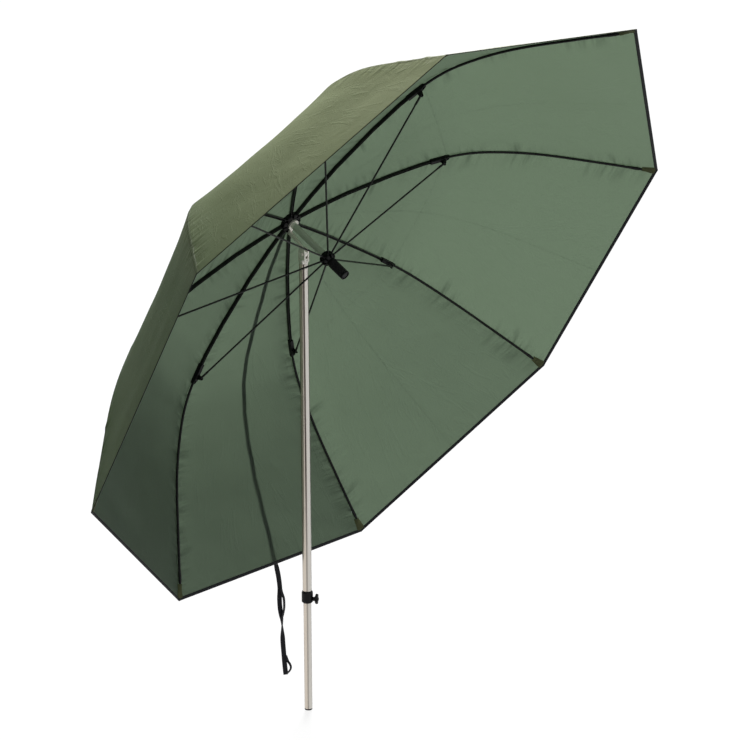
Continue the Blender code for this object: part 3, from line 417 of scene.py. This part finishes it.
def streaked_tube_material(name, warm, cool, dark, smooth, rough):
    """Bright drawn tube: long pale and dark streaks along it, painted reflections, with fine rubs."""
    material, tree, shader = started(name)
    spot = add(tree, "ShaderNodeTexCoord").outputs["Object"]
    parts = add(tree, "ShaderNodeSeparateXYZ", {0: spot})
    angle = add(tree, "ShaderNodeMath", {0: parts.outputs[1], 1: parts.outputs[0]}, operation="ARCTAN2")
    # Five narrow dark streaks round the tube, each about 2 mm wide: painted reflections.
    turns = add(tree, "ShaderNodeMath", {0: angle.outputs[0], 1: 5.0, 2: 4.22}, operation="MULTIPLY_ADD")
    wave = add(tree, "ShaderNodeMath", {0: turns.outputs[0]}, operation="COSINE")
    reflection_streak = ramp(tree, wave.outputs[0], 0.35, 0.85, soft=True)
    # The painted reflection streaks are darker higher up the pole than low down.
    height = ramp(tree, parts.outputs[2], 0.35, 0.75, 0.42, 0.95, soft=True)
    depth = product(tree, reflection_streak, height)
    lines = add(tree, "ShaderNodeMapping", {"Vector": spot, "Scale": (420.0, 420.0, 3.0)})
    fine = add(tree, "ShaderNodeTexNoise", {"Vector": lines.outputs[0], "Scale": 1.0, "Detail": 4.0})
    # Painted reflection: one side of the tube is warm cream and the other cool grey.
    side = add(tree, "ShaderNodeMath", {0: angle.outputs[0], 1: 1.0, 2: 0.81}, operation="MULTIPLY_ADD")
    side = add(tree, "ShaderNodeMath", {0: side.outputs[0]}, operation="SINE")
    reflection_tone = ramp(tree, side.outputs[0], -0.35, 0.35)
    base = blended(tree, reflection_tone, colour(warm), colour(cool))
    base = blended(tree, depth, base, colour(dark))
    base = blended(tree, fine.outputs["Fac"], base, colour("#F2EFE8"), "MULTIPLY")
    tree.links.new(base, shader.inputs["Base Color"])
    marks = add(tree, "ShaderNodeMapping", {"Vector": spot, "Scale": (60.0, 60.0, 22.0)})
    rubs = add(tree, "ShaderNodeTexNoise", {"Vector": marks.outputs[0], "Scale": 1.0, "Detail": 5.0})
    worn = ramp(tree, rubs.outputs["Fac"], 0.45, 0.75, smooth, rough)
    tree.links.new(worn, shader.inputs["Roughness"])
    bump = add(tree, "ShaderNodeBump", {"Height": fine.outputs["Fac"], "Distance": 0.00002, "Strength": 0.35})
    tree.links.new(bump.outputs[0], shader.inputs["Normal"])
    shader.inputs["Metallic"].default_value = 0.5
    return material


def satin_tube_material(name, pale, dull, metallic):
    """Anodised tube: an even satin with a fine grain, duller in patches."""
    material, tree, shader = started(name)
    spot = add(tree, "ShaderNodeTexCoord").outputs["Object"]
    lines = add(tree, "ShaderNodeMapping", {"Vector": spot, "Scale": (260.0, 260.0, 260.0)})
    fine = add(tree, "ShaderNodeTexNoise", {"Vector": lines.outputs[0], "Scale": 1.0, "Detail": 4.0})
    rubs = add(tree, "ShaderNodeTexNoise", {"Vector": spot, "Scale": 45.0, "Detail": 5.0})
    tree.links.new(ramp(tree, rubs.outputs["Fac"], 0.45, 0.75, 0.34, 0.5), shader.inputs["Roughness"])
    base = blended(tree, rubs.outputs["Fac"], colour(pale), colour(dull))
    tree.links.new(base, shader.inputs["Base Color"])
    bump = add(tree, "ShaderNodeBump", {"Height": fine.outputs["Fac"], "Distance": 0.00002, "Strength": 0.3})
    tree.links.new(bump.outputs[0], shader.inputs["Normal"])
    shader.inputs["Metallic"].default_value = metallic
    return material


def coated_material(name, face, worn, rough, grain, depth, metallic=0.0, coat=0.0):
    """A coated or moulded surface: an even colour with a fine grain, rubbed a little paler in places."""
    material, tree, shader = started(name)
    spot = add(tree, "ShaderNodeTexCoord").outputs["Object"]
    texture = add(tree, "ShaderNodeTexNoise", {"Vector": spot, "Scale": 1 / grain, "Detail": 2.0})
    rubbed = add(tree, "ShaderNodeTexNoise", {"Vector": spot, "Scale": 38.0, "Detail": 6.0, "Roughness": 0.6})
    patch = ramp(tree, rubbed.outputs["Fac"], 0.52, 0.72, high=0.55)
    tree.links.new(blended(tree, patch, colour(face), colour(worn)), shader.inputs["Base Color"])
    spread = ramp(tree, rubbed.outputs["Fac"], 0.3, 0.7, rough - 0.07, rough + 0.09)
    tree.links.new(spread, shader.inputs["Roughness"])
    bump = add(tree, "ShaderNodeBump", {"Height": texture.outputs["Fac"], "Distance": depth, "Strength": 0.5})
    tree.links.new(bump.outputs[0], shader.inputs["Normal"])
    shader.inputs["Metallic"].default_value = metallic
    shader.inputs["Specular IOR Level"].default_value = 0.5 if metallic else 0.16
    if coat:
        shader.inputs["Coat Weight"].default_value = coat
        shader.inputs["Coat Roughness"].default_value = 0.15
    return material


# The face of the cloth: olive, nearly without shine, with pale lines where it was creased, and painted
# lighter towards the top as light from the sky.
cloth_outside = cloth_material(
    "taffeta_face_olive", face="#50653A", shade="#475C31", creased="#8C9968", through="#BAC7A8",
    share=0.46, crumple=0.22, top_lit_colour="#CFD8A2", top_light_most=0.9, specular=0.08)
# Its coated back: a greyer, duller green that lets the daylight through, painted a little lighter towards the
# top as light from the sky.
cloth_inside = cloth_material(
    "taffeta_back_coated_green", face="#6E7D72", shade="#627163", creased="#84948A", through="#B6C5C1",
    share=0.57, crumple=0.20, top_lit_colour="#76867A", top_light_most=0.2, specular=0.2)
# The binding: a flat tape, nearly black, that draws a dull dark line round the rim.
hem_tape = webbing_material("polyester_binding_tape", "#0F1118", "#07080D", 0.0012)
# The strap: the same dark shade, with the coarser ribs of a webbing.
strap_webbing = webbing_material("polypropylene_webbing", "#12121C", "#07070D", 0.0016)
# The corner pockets: a matt, coarse cloth, yellower than the canopy.
pocket_cloth = coated_material("pocket_oxford_cloth", "#64694A", "#838560", 0.75, 0.0009, 0.0002)
# The pole: bright metal, with painted reflections in long narrow pale and dark streaks.
polished_tube = streaked_tube_material(
    "polished_drawn_aluminium", "#FFF3E6", "#F0EDE8", "#3F2E2C", 0.28, 0.40)
# The tube on the canopy's axis: a soft grey green without clear reflections.
green_tube = satin_tube_material("satin_anodised_grey_green", "#CDD6C6", "#BBC5B4", 0.1)
# Ribs and stretchers: black with a thin hard lacquer, which draws a fine light line along them.
black_steel = coated_material("black_lacquered_steel", "#090B0B", "#171A17", 0.42, 0.0006, 0.00003, 0.0, 0.12)
# The bowed rods: a duller black than the ribs.
black_rod = coated_material("black_pultruded_fibreglass", "#08090B", "#131615", 0.48, 0.0005, 0.00002)
# Hub, runner, joints and clamp: black, with the fine grain of a moulding.
moulded = coated_material("black_moulded_nylon", "#070709", "#141417", 0.48, 0.0004, 0.00004)
# The grip: soft and matt.
grip_plastic = coated_material("black_moulded_grip_pvc", "#050507", "#101013", 0.55, 0.0005, 0.00008)
# Fork, bolt and bracket: bright pressed metal with a slightly cloudy shine.
zinc_steel = coated_material("zinc_plated_pressed_steel", "#F4F0E8", "#D8D4CC", 0.40, 0.002, 0.00003, 0.55)
# The catch: a clear spot of colour with a soft shine.
turquoise = coated_material("turquoise_moulded_abs", "#2C8F88", "#3BA59C", 0.32, 0.0005, 0.00002)


# The canopy's cloth

def cloth_sheet(name, index, first, last, rows, columns, materials):
    """One rib's share of the cloth between two radii: an outer and an inner skin, joined round the edge."""
    mesh = bmesh.new()
    layer = mesh.loops.layers.uv.new("UVMap")
    plane = PLANES[index]
    turn = plane.to_3x3()
    facings, lengths = {}, {}
    area = 0.0
    skins = []
    for skin in (0, 1):
        made = bmesh.ops.create_grid(mesh, x_segments=columns, y_segments=rows, size=1)["verts"]
        for vert in made:
            if skin == 0:
                across = round(math.copysign(abs(vert.co.x) ** 1.25, vert.co.x), 6)
                radius = round(first + (last - first) * (vert.co.y + 1) / 2, 6)
                facing = cloth_facing(index, radius, across)
                facings[vert] = facing
                lengths[vert] = (across * radius * math.sin(HALF), length_along_rib(radius))
                vert.co = cloth_point(index, radius, across) + facing * CLOTH
        if skin == 1:
            for vert, twin in zip(made, skins[0]):
                facings[vert] = -facings[twin]
                lengths[vert] = lengths[twin]
                vert.co = twin.co - facings[twin] * CLOTH
        faces = list({face for vert in made for face in vert.link_faces})
        for face in faces:
            face.material_index = skin
            face.normal_update()
            for loop in face.loops:
                loop[layer].uv = lengths[loop.vert]
        if sum(face.normal.dot(facings[face.verts[0]]) for face in faces) < 0:
            bmesh.ops.reverse_faces(mesh, faces=faces)
        if skin == 0:
            area = sum(face.calc_area() for face in faces)
        skins.append(made)
    bmesh.ops.bridge_loops(mesh, edges=[edge for edge in mesh.edges if edge.is_boundary])
    mesh.verts.index_update()
    normals = [turn @ facings[vert] for vert in mesh.verts]
    mesh.transform(plane)
    data = bpy.data.meshes.new(name)
    mesh.to_mesh(data)
    mesh.free()
    for material in materials:
        data.materials.append(material)
    data.shade_smooth()
    data.normals_split_custom_set_from_vertices(normals)
    piece = bpy.data.objects.new(name, data)
    bpy.context.scene.collection.objects.link(piece)
    return piece, area


def hem_mesh(index):
    """The hem: the cloth folded over a dark tape, which shows on the inside and follows the corner."""
    half_width, half_thick, in_from_edge = 0.0046, 0.0013, 0.0028
    rings = []
    steps, round_steps = 48, 12
    for k in range(steps + 1):
        across = -1 + 2 * k / steps
        across = math.copysign(abs(across) ** 1.15, across)
        edge = cloth_point(index, TIP_RADIUS, across, CLOTH / 2)
        inner = cloth_point(index, TIP_RADIUS - 0.01, across, CLOTH / 2)
        along = (edge - inner).normalized()
        up = outwards(TIP_RADIUS, across)
        up = (up - along * up.dot(along)).normalized()
        corner = 1 / math.cos(HALF) if k == steps // 2 else 1
        middle = edge - along * in_from_edge
        ring = []
        for s in range(round_steps):
            a = math.tau * s / round_steps
            flat = math.copysign(abs(math.cos(a)) ** 0.6, math.cos(a))
            thick = math.copysign(abs(math.sin(a)) ** 0.7, math.sin(a))
            ring.append(middle + along * flat * half_width * corner + up * thick * half_thick)
        rings.append(ring)
    mesh = swept(rings)
    layer = mesh.loops.layers.uv.new("UVMap")
    for face in mesh.faces:
        spot = face.calc_center_median()
        face.normal_update()
        across = max(min(math.atan2(spot.y, spot.x) / HALF, 1), -1)
        face.material_index = 1 if face.normal.dot(outwards(TIP_RADIUS, across)) > 0.7 else 0
        for loop in face.loops:
            place = loop.vert.co
            loop[layer].uv = (place.y, place.x + place.z)
    return mesh


def pocket_mesh(index):
    """The small doubled pocket on the cloth's inside at a corner, which holds the rod's end."""
    from_tip, length, mouth_half, spread = 0.0285, 0.0255, 0.0075, 0.006
    over_rod, over_tip, over_edge = 0.0085, 0.0012, 0.0008
    mesh = bmesh.new()
    made = bmesh.ops.create_grid(mesh, x_segments=12, y_segments=12, size=1)["verts"]
    for vert in made:
        across, share = vert.co.x, (vert.co.y + 1) / 2
        radius = TIP_RADIUS - from_tip + length * share
        half = mouth_half + spread * share
        wide = abs(across) * half / (radius * math.sin(HALF))
        bulge = (1 - across * across) * (over_rod * (1 - share) ** 0.8 + over_tip) + over_edge
        vert.co = cloth_point(index, radius, math.copysign(wide, across), -bulge)
    bmesh.ops.recalc_face_normals(mesh, faces=mesh.faces)
    bmesh.ops.solidify(mesh, geom=mesh.faces[:], thickness=0.0006)
    bmesh.ops.recalc_face_normals(mesh, faces=mesh.faces)
    return mesh


def rod_mesh(index):
    """The bowed rod with its flat eye at the knee and the ferrule at its tip."""
    first, last = KNEE, TIP_RADIUS - 0.027
    rod, ferrule, ferrule_length, rounded = 0.0035, 0.0043, 0.024, 0.0026
    eye_wide, eye_tall, wide_length, tall_length = 0.0029, 0.0046, 0.012, 0.006
    rings = []
    steps, round_steps = 46, 16
    for k in range(steps + 1):
        radius = first + (last - first) * k / steps
        wide = eye_wide if radius < KNEE + wide_length else rod
        tall = eye_tall if radius < KNEE + tall_length else rod
        if radius > last - ferrule_length:
            wide = tall = ferrule
        if k == steps:
            wide = tall = rounded
        lean = rib_row(round(radius, 6))[0]
        centre = Vector((radius, 0, rib_depth(radius)))
        down = Vector((-math.sin(lean), 0, math.cos(lean)))
        rings.append([
            centre + Vector((0, 1, 0)) * wide * math.cos(a) + down * tall * math.sin(a)
            for a in (math.tau * s / round_steps for s in range(round_steps))
        ])
    return swept(rings)


def dress_canopy():
    for index, letter in enumerate(LETTERS):
        plane = PLANES[index]
        node = f"canopy_panel_{letter}"
        skins = [cloth_outside, cloth_inside]
        inner, area = cloth_sheet(f"cloth_crown_{letter}", index, CROWN_HOLE, KNEE, 60, 36, skins)
        fit(inner, f"rib_{letter}", "canopy_cloth", node)
        outer, area = cloth_sheet(f"cloth_rim_{letter}", index, KNEE, TIP_RADIUS, 72, 60, skins)
        fit(outer, f"rod_{letter}", "canopy_cloth", node)
        hem = place_mesh(f"hem_{letter}", hem_mesh(index), [hem_tape, cloth_outside], plane, 60)
        fit(hem, f"rod_{letter}", "webbing", node)
        pocket = place_mesh(f"tip_pocket_{letter}", pocket_mesh(index), [pocket_cloth], plane, 60)
        fit(pocket, f"rod_{letter}", "canopy_cloth")
        fold_in(inner)
        fold_in(outer)
        fold_in(hem)
        rod = place_mesh(f"rod_{letter}", rod_mesh(index), [black_rod], plane)
        fit(rod, f"rod_{letter}", "black_rod", f"rib_outer_{letter}")


# The strap

STRAP_WIDTH = 0.014
STRAP_THICKNESS = 0.0014
STRAP_BESIDE_SEAM = 0.008
STRAP_OVER_CLOTH = 0.0024
# Where along the tail it is twisted
TWIST = 0.595
TAIL_ROUTE = (
    (0.0, 0.0, 0.0), (0.003, 0.003, -0.021), (0.006, 0.005, -0.043), (0.009, 0.006, -0.073),
    (0.008, 0.005, -0.104), (0.008, 0.007, -0.136), (0.011, 0.010, -0.168), (0.012, 0.011, -0.200),
    (0.013, 0.011, -0.236), (0.014, 0.013, -0.270), (0.016, 0.014, -0.304), (0.018, 0.016, -0.337),
)
# The webbing's section, in shares of half its width and half its thickness
STRAP_SECTION = (
    (-1, -0.5), (-0.93, -1), (0.93, -1), (1, -0.5), (1, 0.5), (0.93, 1), (-0.93, 1), (-1, 0.5),
)
# Level directions seen from the pole's front: towards it, and across it.
FRONT = Vector((0.66, -0.75, 0.0)).normalized()
BESIDE = Vector((0.75, 0.66, 0.0)).normalized()


def ribbon(places, widths, facings, thicknesses=None):
    """A flat strap through points, each with its width and the direction that it faces."""
    rings = []
    for i, place in enumerate(places):
        runs = places[min(i + 1, len(places) - 1)] - places[max(i - 1, 0)]
        side = runs.cross(facings[i]).normalized()
        up = side.cross(runs).normalized()
        half, edge = widths[i] / 2, (thicknesses[i] if thicknesses else STRAP_THICKNESS) / 2
        rings.append([place + side * half * a + up * edge * b for a, b in STRAP_SECTION])
    mesh = swept(rings)
    layer = mesh.loops.layers.uv.new("UVMap")
    lengths = [0.0]
    for a, b in zip(places, places[1:]):
        lengths.append(lengths[-1] + (b - a).length)
    for face in mesh.faces:
        for loop in face.loops:
            near = min(range(len(places)), key=lambda k: (places[k] - loop.vert.co).length_squared)
            runs = places[min(near + 1, len(places) - 1)] - places[max(near - 1, 0)]
            side = runs.cross(facings[near]).normalized()
            loop[layer].uv = ((loop.vert.co - places[near]).dot(side), lengths[near])
    return mesh


def band_places(first, last, steps):
    places, facings = [], []
    for k in range(steps + 1):
        radius = first + (last - first) * k / steps
        half_chord = radius * math.sin(HALF)
        across = -max(1 - STRAP_BESIDE_SEAM / half_chord, 0)
        wander = 0.0008 * math.sin(radius * 41) + 0.0006 * math.sin(radius * 83)
        places.append(cloth_point(STRAP_RIB, round(radius, 6), across, STRAP_OVER_CLOTH + wander))
        facings.append(outwards(round(radius, 6), across))
    return places, facings


def tail_start():
    """Where the strap leaves the hem, and the way that it runs and faces there."""
    last_stretch, past_hem = 0.004, 0.0003
    places, facings = band_places(TIP_RADIUS - last_stretch, TIP_RADIUS, 1)
    turn = PLANES[STRAP_RIB].to_3x3()
    runs = (turn @ (places[1] - places[0])).normalized()
    return PLANES[STRAP_RIB] @ places[1] + runs * past_hem, turn @ facings[1]


def eased_route(points, steps):
    """A smooth line through points, with the same number of steps in each stretch."""
    line = []
    last = len(points) - 1
    for i in range(last):
        before, here, there, after = (points[min(max(i + k, 0), last)] for k in (-1, 0, 1, 2))
        for k in range(steps):
            t = k / steps
            line.append(
                here + ((there - before) * t + (before * 2 - here * 5 + there * 4 - after) * t * t
                        + (here * 3 - before - there * 3 + after) * t**3) / 2
            )
    return line + [points[last]]


def hanging_facing(share):
    """The strap faces front at first, turns edge on where it is twisted, and then shows its other side."""
    before, whole = 20, 165
    turn = math.radians(before + whole * ease(TWIST - 0.135, TWIST + 0.165, share))
    return -FRONT * math.cos(turn) - BESIDE * math.sin(turn)


def dress_tail():
    start, out = tail_start()
    route = eased_route([start + Vector(point) for point in TAIL_ROUTE], 4)
    last = len(route) - 1
    facings = [out.lerp(hanging_facing(k / last), ease(0.0, 0.08, k / last)) for k in range(last + 1)]
    # Where it is twisted the webbing folds along its length, so it is narrower and thicker there.
    folded = [math.exp(-((k / last - TWIST) / 0.05) ** 2) for k in range(last + 1)]
    narrower, thicker = 0.45, 0.0032
    widths = [STRAP_WIDTH * (1 - narrower * fold) for fold in folded]
    thicknesses = [STRAP_THICKNESS + thicker * fold for fold in folded]
    tail = place_mesh("strap_tail", ribbon(route, widths, facings, thicknesses), [strap_webbing], None, 60)
    fit(tail, "rod_D", "webbing", "tie_strap")

    def beside(height, out_by, front_by):
        near = min(route, key=lambda point: abs(point.z - start.z + height))
        return near + BESIDE * out_by + FRONT * front_by

    # The doubled end is sewn down in two places, and stands off as a long and a short loop.
    long_loop = eased_route([
        beside(0.070, 0.003, 0.0012), beside(0.085, 0.007, 0.002), beside(0.105, 0.0125, 0.003),
        beside(0.128, 0.0125, 0.003), beside(0.145, 0.009, 0.002), beside(0.160, 0.003, 0.0012),
    ], 6)
    faces = [BESIDE * 0.82 + FRONT * 0.57] * len(long_loop)
    widths = [0.010] * len(long_loop)
    loop = place_mesh("strap_loop", ribbon(long_loop, widths, faces), [strap_webbing], None, 60)
    fit(loop, "rod_D", "webbing")
    short_loop = eased_route([
        beside(0.280, 0.006, 0.0012), beside(0.292, 0.0105, 0.002), beside(0.305, 0.015, 0.002),
        beside(0.317, 0.017, 0.002), beside(0.326, 0.0135, 0.002), beside(0.329, 0.006, 0.0012),
    ], 6)
    faces = [BESIDE * 0.7 + FRONT * 0.72] * len(short_loop)
    widths = [0.0075] * len(short_loop)
    keeper = place_mesh("strap_keeper", ribbon(short_loop, widths, faces), [strap_webbing], None, 60)
    fit(keeper, "rod_D", "webbing")
    for piece in (tail, loop, keeper):
        fold_in(piece)


def dress_strap():
    sewn_at = 0.040
    for name, body, first, last, folded in (
        ("strap_upper", "rib_D", sewn_at, KNEE, CROWN_FOLDED),
        ("strap_lower", "rod_D", KNEE, TIP_RADIUS, RIM_FOLDED),
    ):
        places, facings = band_places(first, last, 40)
        mesh = ribbon(places, [STRAP_WIDTH] * len(places), facings)
        band = place_mesh(name, mesh, [strap_webbing], PLANES[STRAP_RIB], 60)
        fit(band, body, "webbing", "strap_band")
        fold_in(band)


# The pole, the crown and the runner

# Each tube's outer and inner radius, and where it begins and ends along its own axis
LOWER_TUBE = (0.0110, 0.0098, 0.0043, 0.893)
UPPER_TUBE = (0.0125, 0.0113, 0.343, 1.284)
CENTRE_TUBE = (0.0095, 0.0082, 0.0003, 0.2263)
RUNNER_DEPTH = 0.156
BUTTON_DEPTH = 0.1493
# CAD pieces that get their edges broken: finish, width of the edge, body and slot
EASED = {
    "foot_plug": (moulded, 0.0003, "lower_pole", "black_plastic"),
    "clamp_collar": (moulded, 0.0006, "upper_pole", "black_plastic"),
    "clamp_knob": (moulded, 0.0006, "knob", "black_plastic"),
    "tilt_fork": (zinc_steel, 0.0004, "upper_pole", "zinc_steel"),
    "tilt_bolt": (zinc_steel, 0.0003, "upper_pole", "zinc_steel"),
    "tilt_bracket": (zinc_steel, 0.0005, "crown", "zinc_steel"),
    "crown_hub": (moulded, 0.0004, "crown", "black_plastic"),
    "crown_cap": (moulded, 0.0006, "crown", "black_plastic"),
    "tube_plug": (grip_plastic, 0.0004, "crown", "black_plastic"),
    "runner_head": (moulded, 0.0004, "runner", "black_plastic"),
}


def finer_tube(name, sizes, matrix, material, body, slot, node):
    """A round tube with the edges of its ends broken."""
    outer, inner, low, high = sizes
    edge = min((outer - inner) / 3, 0.0003)
    mesh = turned([
        (outer, low + edge), (outer, high - edge), (outer - edge, high), (inner + edge, high),
        (inner, high - edge), (inner, low + edge), (inner + edge, low), (outer - edge, low),
    ])
    return fit(place_mesh(name, mesh, [material], matrix), body, slot, node)


def eased(node, material, width, body, slot):
    """A copy of a CAD piece with its edges broken, as a moulding or a pressing has them."""
    mesh = bmesh.new()
    mesh.from_mesh(frame["nodes"][node].data)
    bmesh.ops.remove_doubles(mesh, verts=mesh.verts, dist=MERGE)
    flat_angle, sharp_angle = math.radians(0.5), math.radians(40)
    bmesh.ops.dissolve_limit(mesh, angle_limit=flat_angle, verts=mesh.verts, edges=mesh.edges)
    piece = place_mesh(node + "_eased", mesh, [material])
    bevel = piece.modifiers.new("Broken edges", "BEVEL")
    bevel.width = width
    bevel.segments = 2
    bevel.limit_method = "ANGLE"
    bevel.angle_limit = sharp_angle
    bevel.use_clamp_overlap = True
    bevel.harden_normals = False
    return fit(piece, body, slot, node)


def dress_pole():
    finer_tube("lower_tube", LOWER_TUBE, None, polished_tube, "lower_pole", "chrome_pole", "lower_pole")
    finer_tube("upper_tube", UPPER_TUBE, None, polished_tube, "upper_pole", "chrome_pole", "upper_pole")
    finer_tube("crown_tube", CENTRE_TUBE, CANOPY, green_tube, "crown", "grey_tube", "centre_tube")
    for node, (material, width, body, slot) in EASED.items():
        eased(node, material, width, body, slot)


def dress_grip():
    """The hand grip with its close ridges and swelled end."""
    low, high, ridges = 0.0143, 0.0743, 14
    bore, end, groove, necked, plain, shoulder, crest = 0.0101, 0.0116, 0.0122, 0.0123, 0.0124, 0.0131, 0.0132
    neck = 0.006
    pitch = (high - low - 2 * neck) / ridges
    outside = [(necked, low), (necked, low + neck * 0.8)]
    for k in range(ridges):
        at = low + neck + k * pitch
        outside += [(groove, at), (shoulder, at + pitch * 0.22), (crest, at + pitch * 0.45),
                    (shoulder, at + pitch * 0.68), (groove, at + pitch * 0.9)]
    outside += [(plain, high - neck), (crest, high - neck * 0.7), (crest, high - neck * 0.3),
                (0.0126, high - 0.0004), (end, high)]
    mesh = turned([(bore, low), *outside, (bore, high)], 48)
    runner = CANOPY @ Matrix.Translation((0, 0, RUNNER_DEPTH))
    fit(place_mesh("hand_grip", mesh, [grip_plastic], runner, 50), "runner", "black_grip", "runner_grip")


def dress_button():
    """The catch button: a stem in the runner's head, and a domed cap wide enough for a finger's tip."""
    stem, cap, foot, face = 0.003, 0.0042, 0.0146, 0.0227
    mesh = turned([
        (0, foot), (stem, foot), (stem, face - 0.0001), (cap - 0.0004, face), (cap, face + 0.0005),
        (cap, face + 0.0017), (cap - 0.0008, face + 0.0025), (0, face + 0.0029),
    ], 32)
    place = CANOPY @ Matrix.Translation((0, 0, BUTTON_DEPTH)) @ Matrix.Rotation(math.radians(-90), 4, "X")
    fit(place_mesh("catch_button", mesh, [turquoise], place, 50), "button", "button_plastic", "runner_button")


def dress_frame():
    """The rib joints get broken edges; ribs, stretchers and ring wires keep their CAD shape."""
    for letter in LETTERS:
        eased(f"rib_joint_{letter}", moulded, 0.0004, f"rib_{letter}", "black_plastic")
    slots = {"black_steel": black_steel, "zinc_steel": zinc_steel}
    for part in frame["record"]["subparts"]:
        material = slots.get(part["material_slot"])
        if material:
            mesh = frame["nodes"][part["node"]].data
            mesh.materials.clear()
            mesh.materials.append(material)


# Camera, light and floor

# The camera stands off to the front, looks down a little, and is turned a hair about its own line.
CAMERA_PLACE = (3.66566, -3.87726, 2.43049)
CAMERA_PITCH = math.radians(74.8849)
CAMERA_HEADING = math.radians(41.5073)
CAMERA_ROLL = math.radians(-0.1386)
LENS = 99.73
# The sky's light on the object, and the white that the camera sees behind it
SKY_STRENGTH = 0.24
BACKDROP_STRENGTH = 1.0
# The floor: how much light it gives back to the object, and what makes it white to look at
FLOOR_GIVES = 0.14
FLOOR_GLOWS = 0.86
FLOOR_SHOWS = 0.16


def place_camera():
    data = bpy.data.cameras.new("camera")
    data.sensor_width = 36
    data.lens = LENS
    data.clip_end = 200
    camera = bpy.data.objects.new("camera", data)
    bpy.context.scene.collection.objects.link(camera)
    facing = Matrix.Rotation(CAMERA_HEADING, 4, "Z") @ Matrix.Rotation(CAMERA_PITCH, 4, "X")
    turn = facing @ Matrix.Rotation(CAMERA_ROLL, 4, "Z")
    camera.matrix_world = Matrix.Translation(CAMERA_PLACE) @ turn
    bpy.context.scene.camera = camera


def place_lamp(name, place, aim, size, power):
    data = bpy.data.lights.new(name, "AREA")
    data.shape = "DISK"
    data.size = size
    data.energy = power
    lamp = bpy.data.objects.new(name, data)
    bpy.context.scene.collection.objects.link(lamp)
    lamp.location = place
    lamp.rotation_euler = (Vector(aim) - Vector(place)).to_track_quat("-Z", "Y").to_euler()


def place_sun(name, direction, power, spread):
    data = bpy.data.lights.new(name, "SUN")
    data.energy = power
    data.angle = spread
    lamp = bpy.data.objects.new(name, data)
    bpy.context.scene.collection.objects.link(lamp)
    lamp.rotation_euler = Vector(direction).to_track_quat("Z", "Y").to_euler()


def light_room():
    world = bpy.data.worlds.new("studio")
    bpy.context.scene.world = world
    world.use_nodes = True
    tree = world.node_tree
    tree.nodes.clear()
    fill = add(tree, "ShaderNodeBackground", {"Color": (1, 1, 1, 1), "Strength": SKY_STRENGTH})
    backdrop = add(tree, "ShaderNodeBackground", {"Color": (1, 1, 1, 1), "Strength": BACKDROP_STRENGTH})
    mixed = add(tree, "ShaderNodeMixShader", {0: seen(tree), 1: fill.outputs[0], 2: backdrop.outputs[0]})
    add(tree, "ShaderNodeOutputWorld", {"Surface": mixed.outputs[0]})
    # Most light comes from behind the canopy and through it, and a little from in front.
    place_sun("daylight", direction=(-0.52, 0.68, 0.52), power=5.9, spread=math.radians(26))
    place_lamp("front_fill", place=(5.2, -2.2, 3.6), aim=(0.1, 0.0, 1.2), size=4.0, power=14)


def seen(tree):
    """1 for a look by the camera, in a reflection or through a clear thing; 0 for the light it gives."""
    rays = add(tree, "ShaderNodeLightPath")
    looked = add(tree, "ShaderNodeMath", {
        0: rays.outputs["Is Camera Ray"], 1: rays.outputs["Is Glossy Ray"],
    }, operation="MAXIMUM")
    looked = add(tree, "ShaderNodeMath", {
        0: looked.outputs[0], 1: rays.outputs["Is Transmission Ray"],
    }, operation="MAXIMUM")
    # Light scattered through the cloth counts as transmission too, and isn't a look.
    looked = add(tree, "ShaderNodeMath", {
        0: looked.outputs[0], 1: rays.outputs["Is Diffuse Ray"],
    }, operation="SUBTRACT", use_clamp=True)
    return looked.outputs[0]


def lay_floor():
    """A pale floor that looks white, and still takes the object's shadow."""
    mesh = bmesh.new()
    bmesh.ops.create_circle(mesh, cap_ends=True, segments=64, radius=40)
    material, tree, shader = started("pale_floor")
    shader.inputs["Base Color"].default_value = (FLOOR_GIVES, FLOOR_GIVES, FLOOR_GIVES, 1)
    shader.inputs["Roughness"].default_value = 1.0
    shader.inputs["Specular IOR Level"].default_value = 0.0
    glow = add(tree, "ShaderNodeEmission", {"Color": (1, 1, 1, 1), "Strength": FLOOR_GLOWS})
    soft = add(tree, "ShaderNodeBsdfDiffuse", {"Color": (FLOOR_SHOWS, FLOOR_SHOWS, FLOOR_SHOWS, 1)})
    bright = add(tree, "ShaderNodeAddShader", {0: glow.outputs[0], 1: soft.outputs[0]})
    mixed = add(tree, "ShaderNodeMixShader", {0: seen(tree), 1: shader.outputs[0], 2: bright.outputs[0]})
    tree.links.new(mixed.outputs[0], tree.nodes["Material Output"].inputs["Surface"])
    floor = place_mesh("floor", mesh, [material])
    just_below = -0.0005
    floor.location.z = just_below


place_camera()
dress_tail()
dress_canopy()
dress_strap()
dress_pole()
dress_grip()
dress_button()
dress_frame()
light_room()
lay_floor()
bpy.context.scene.view_settings.view_transform = "Standard"
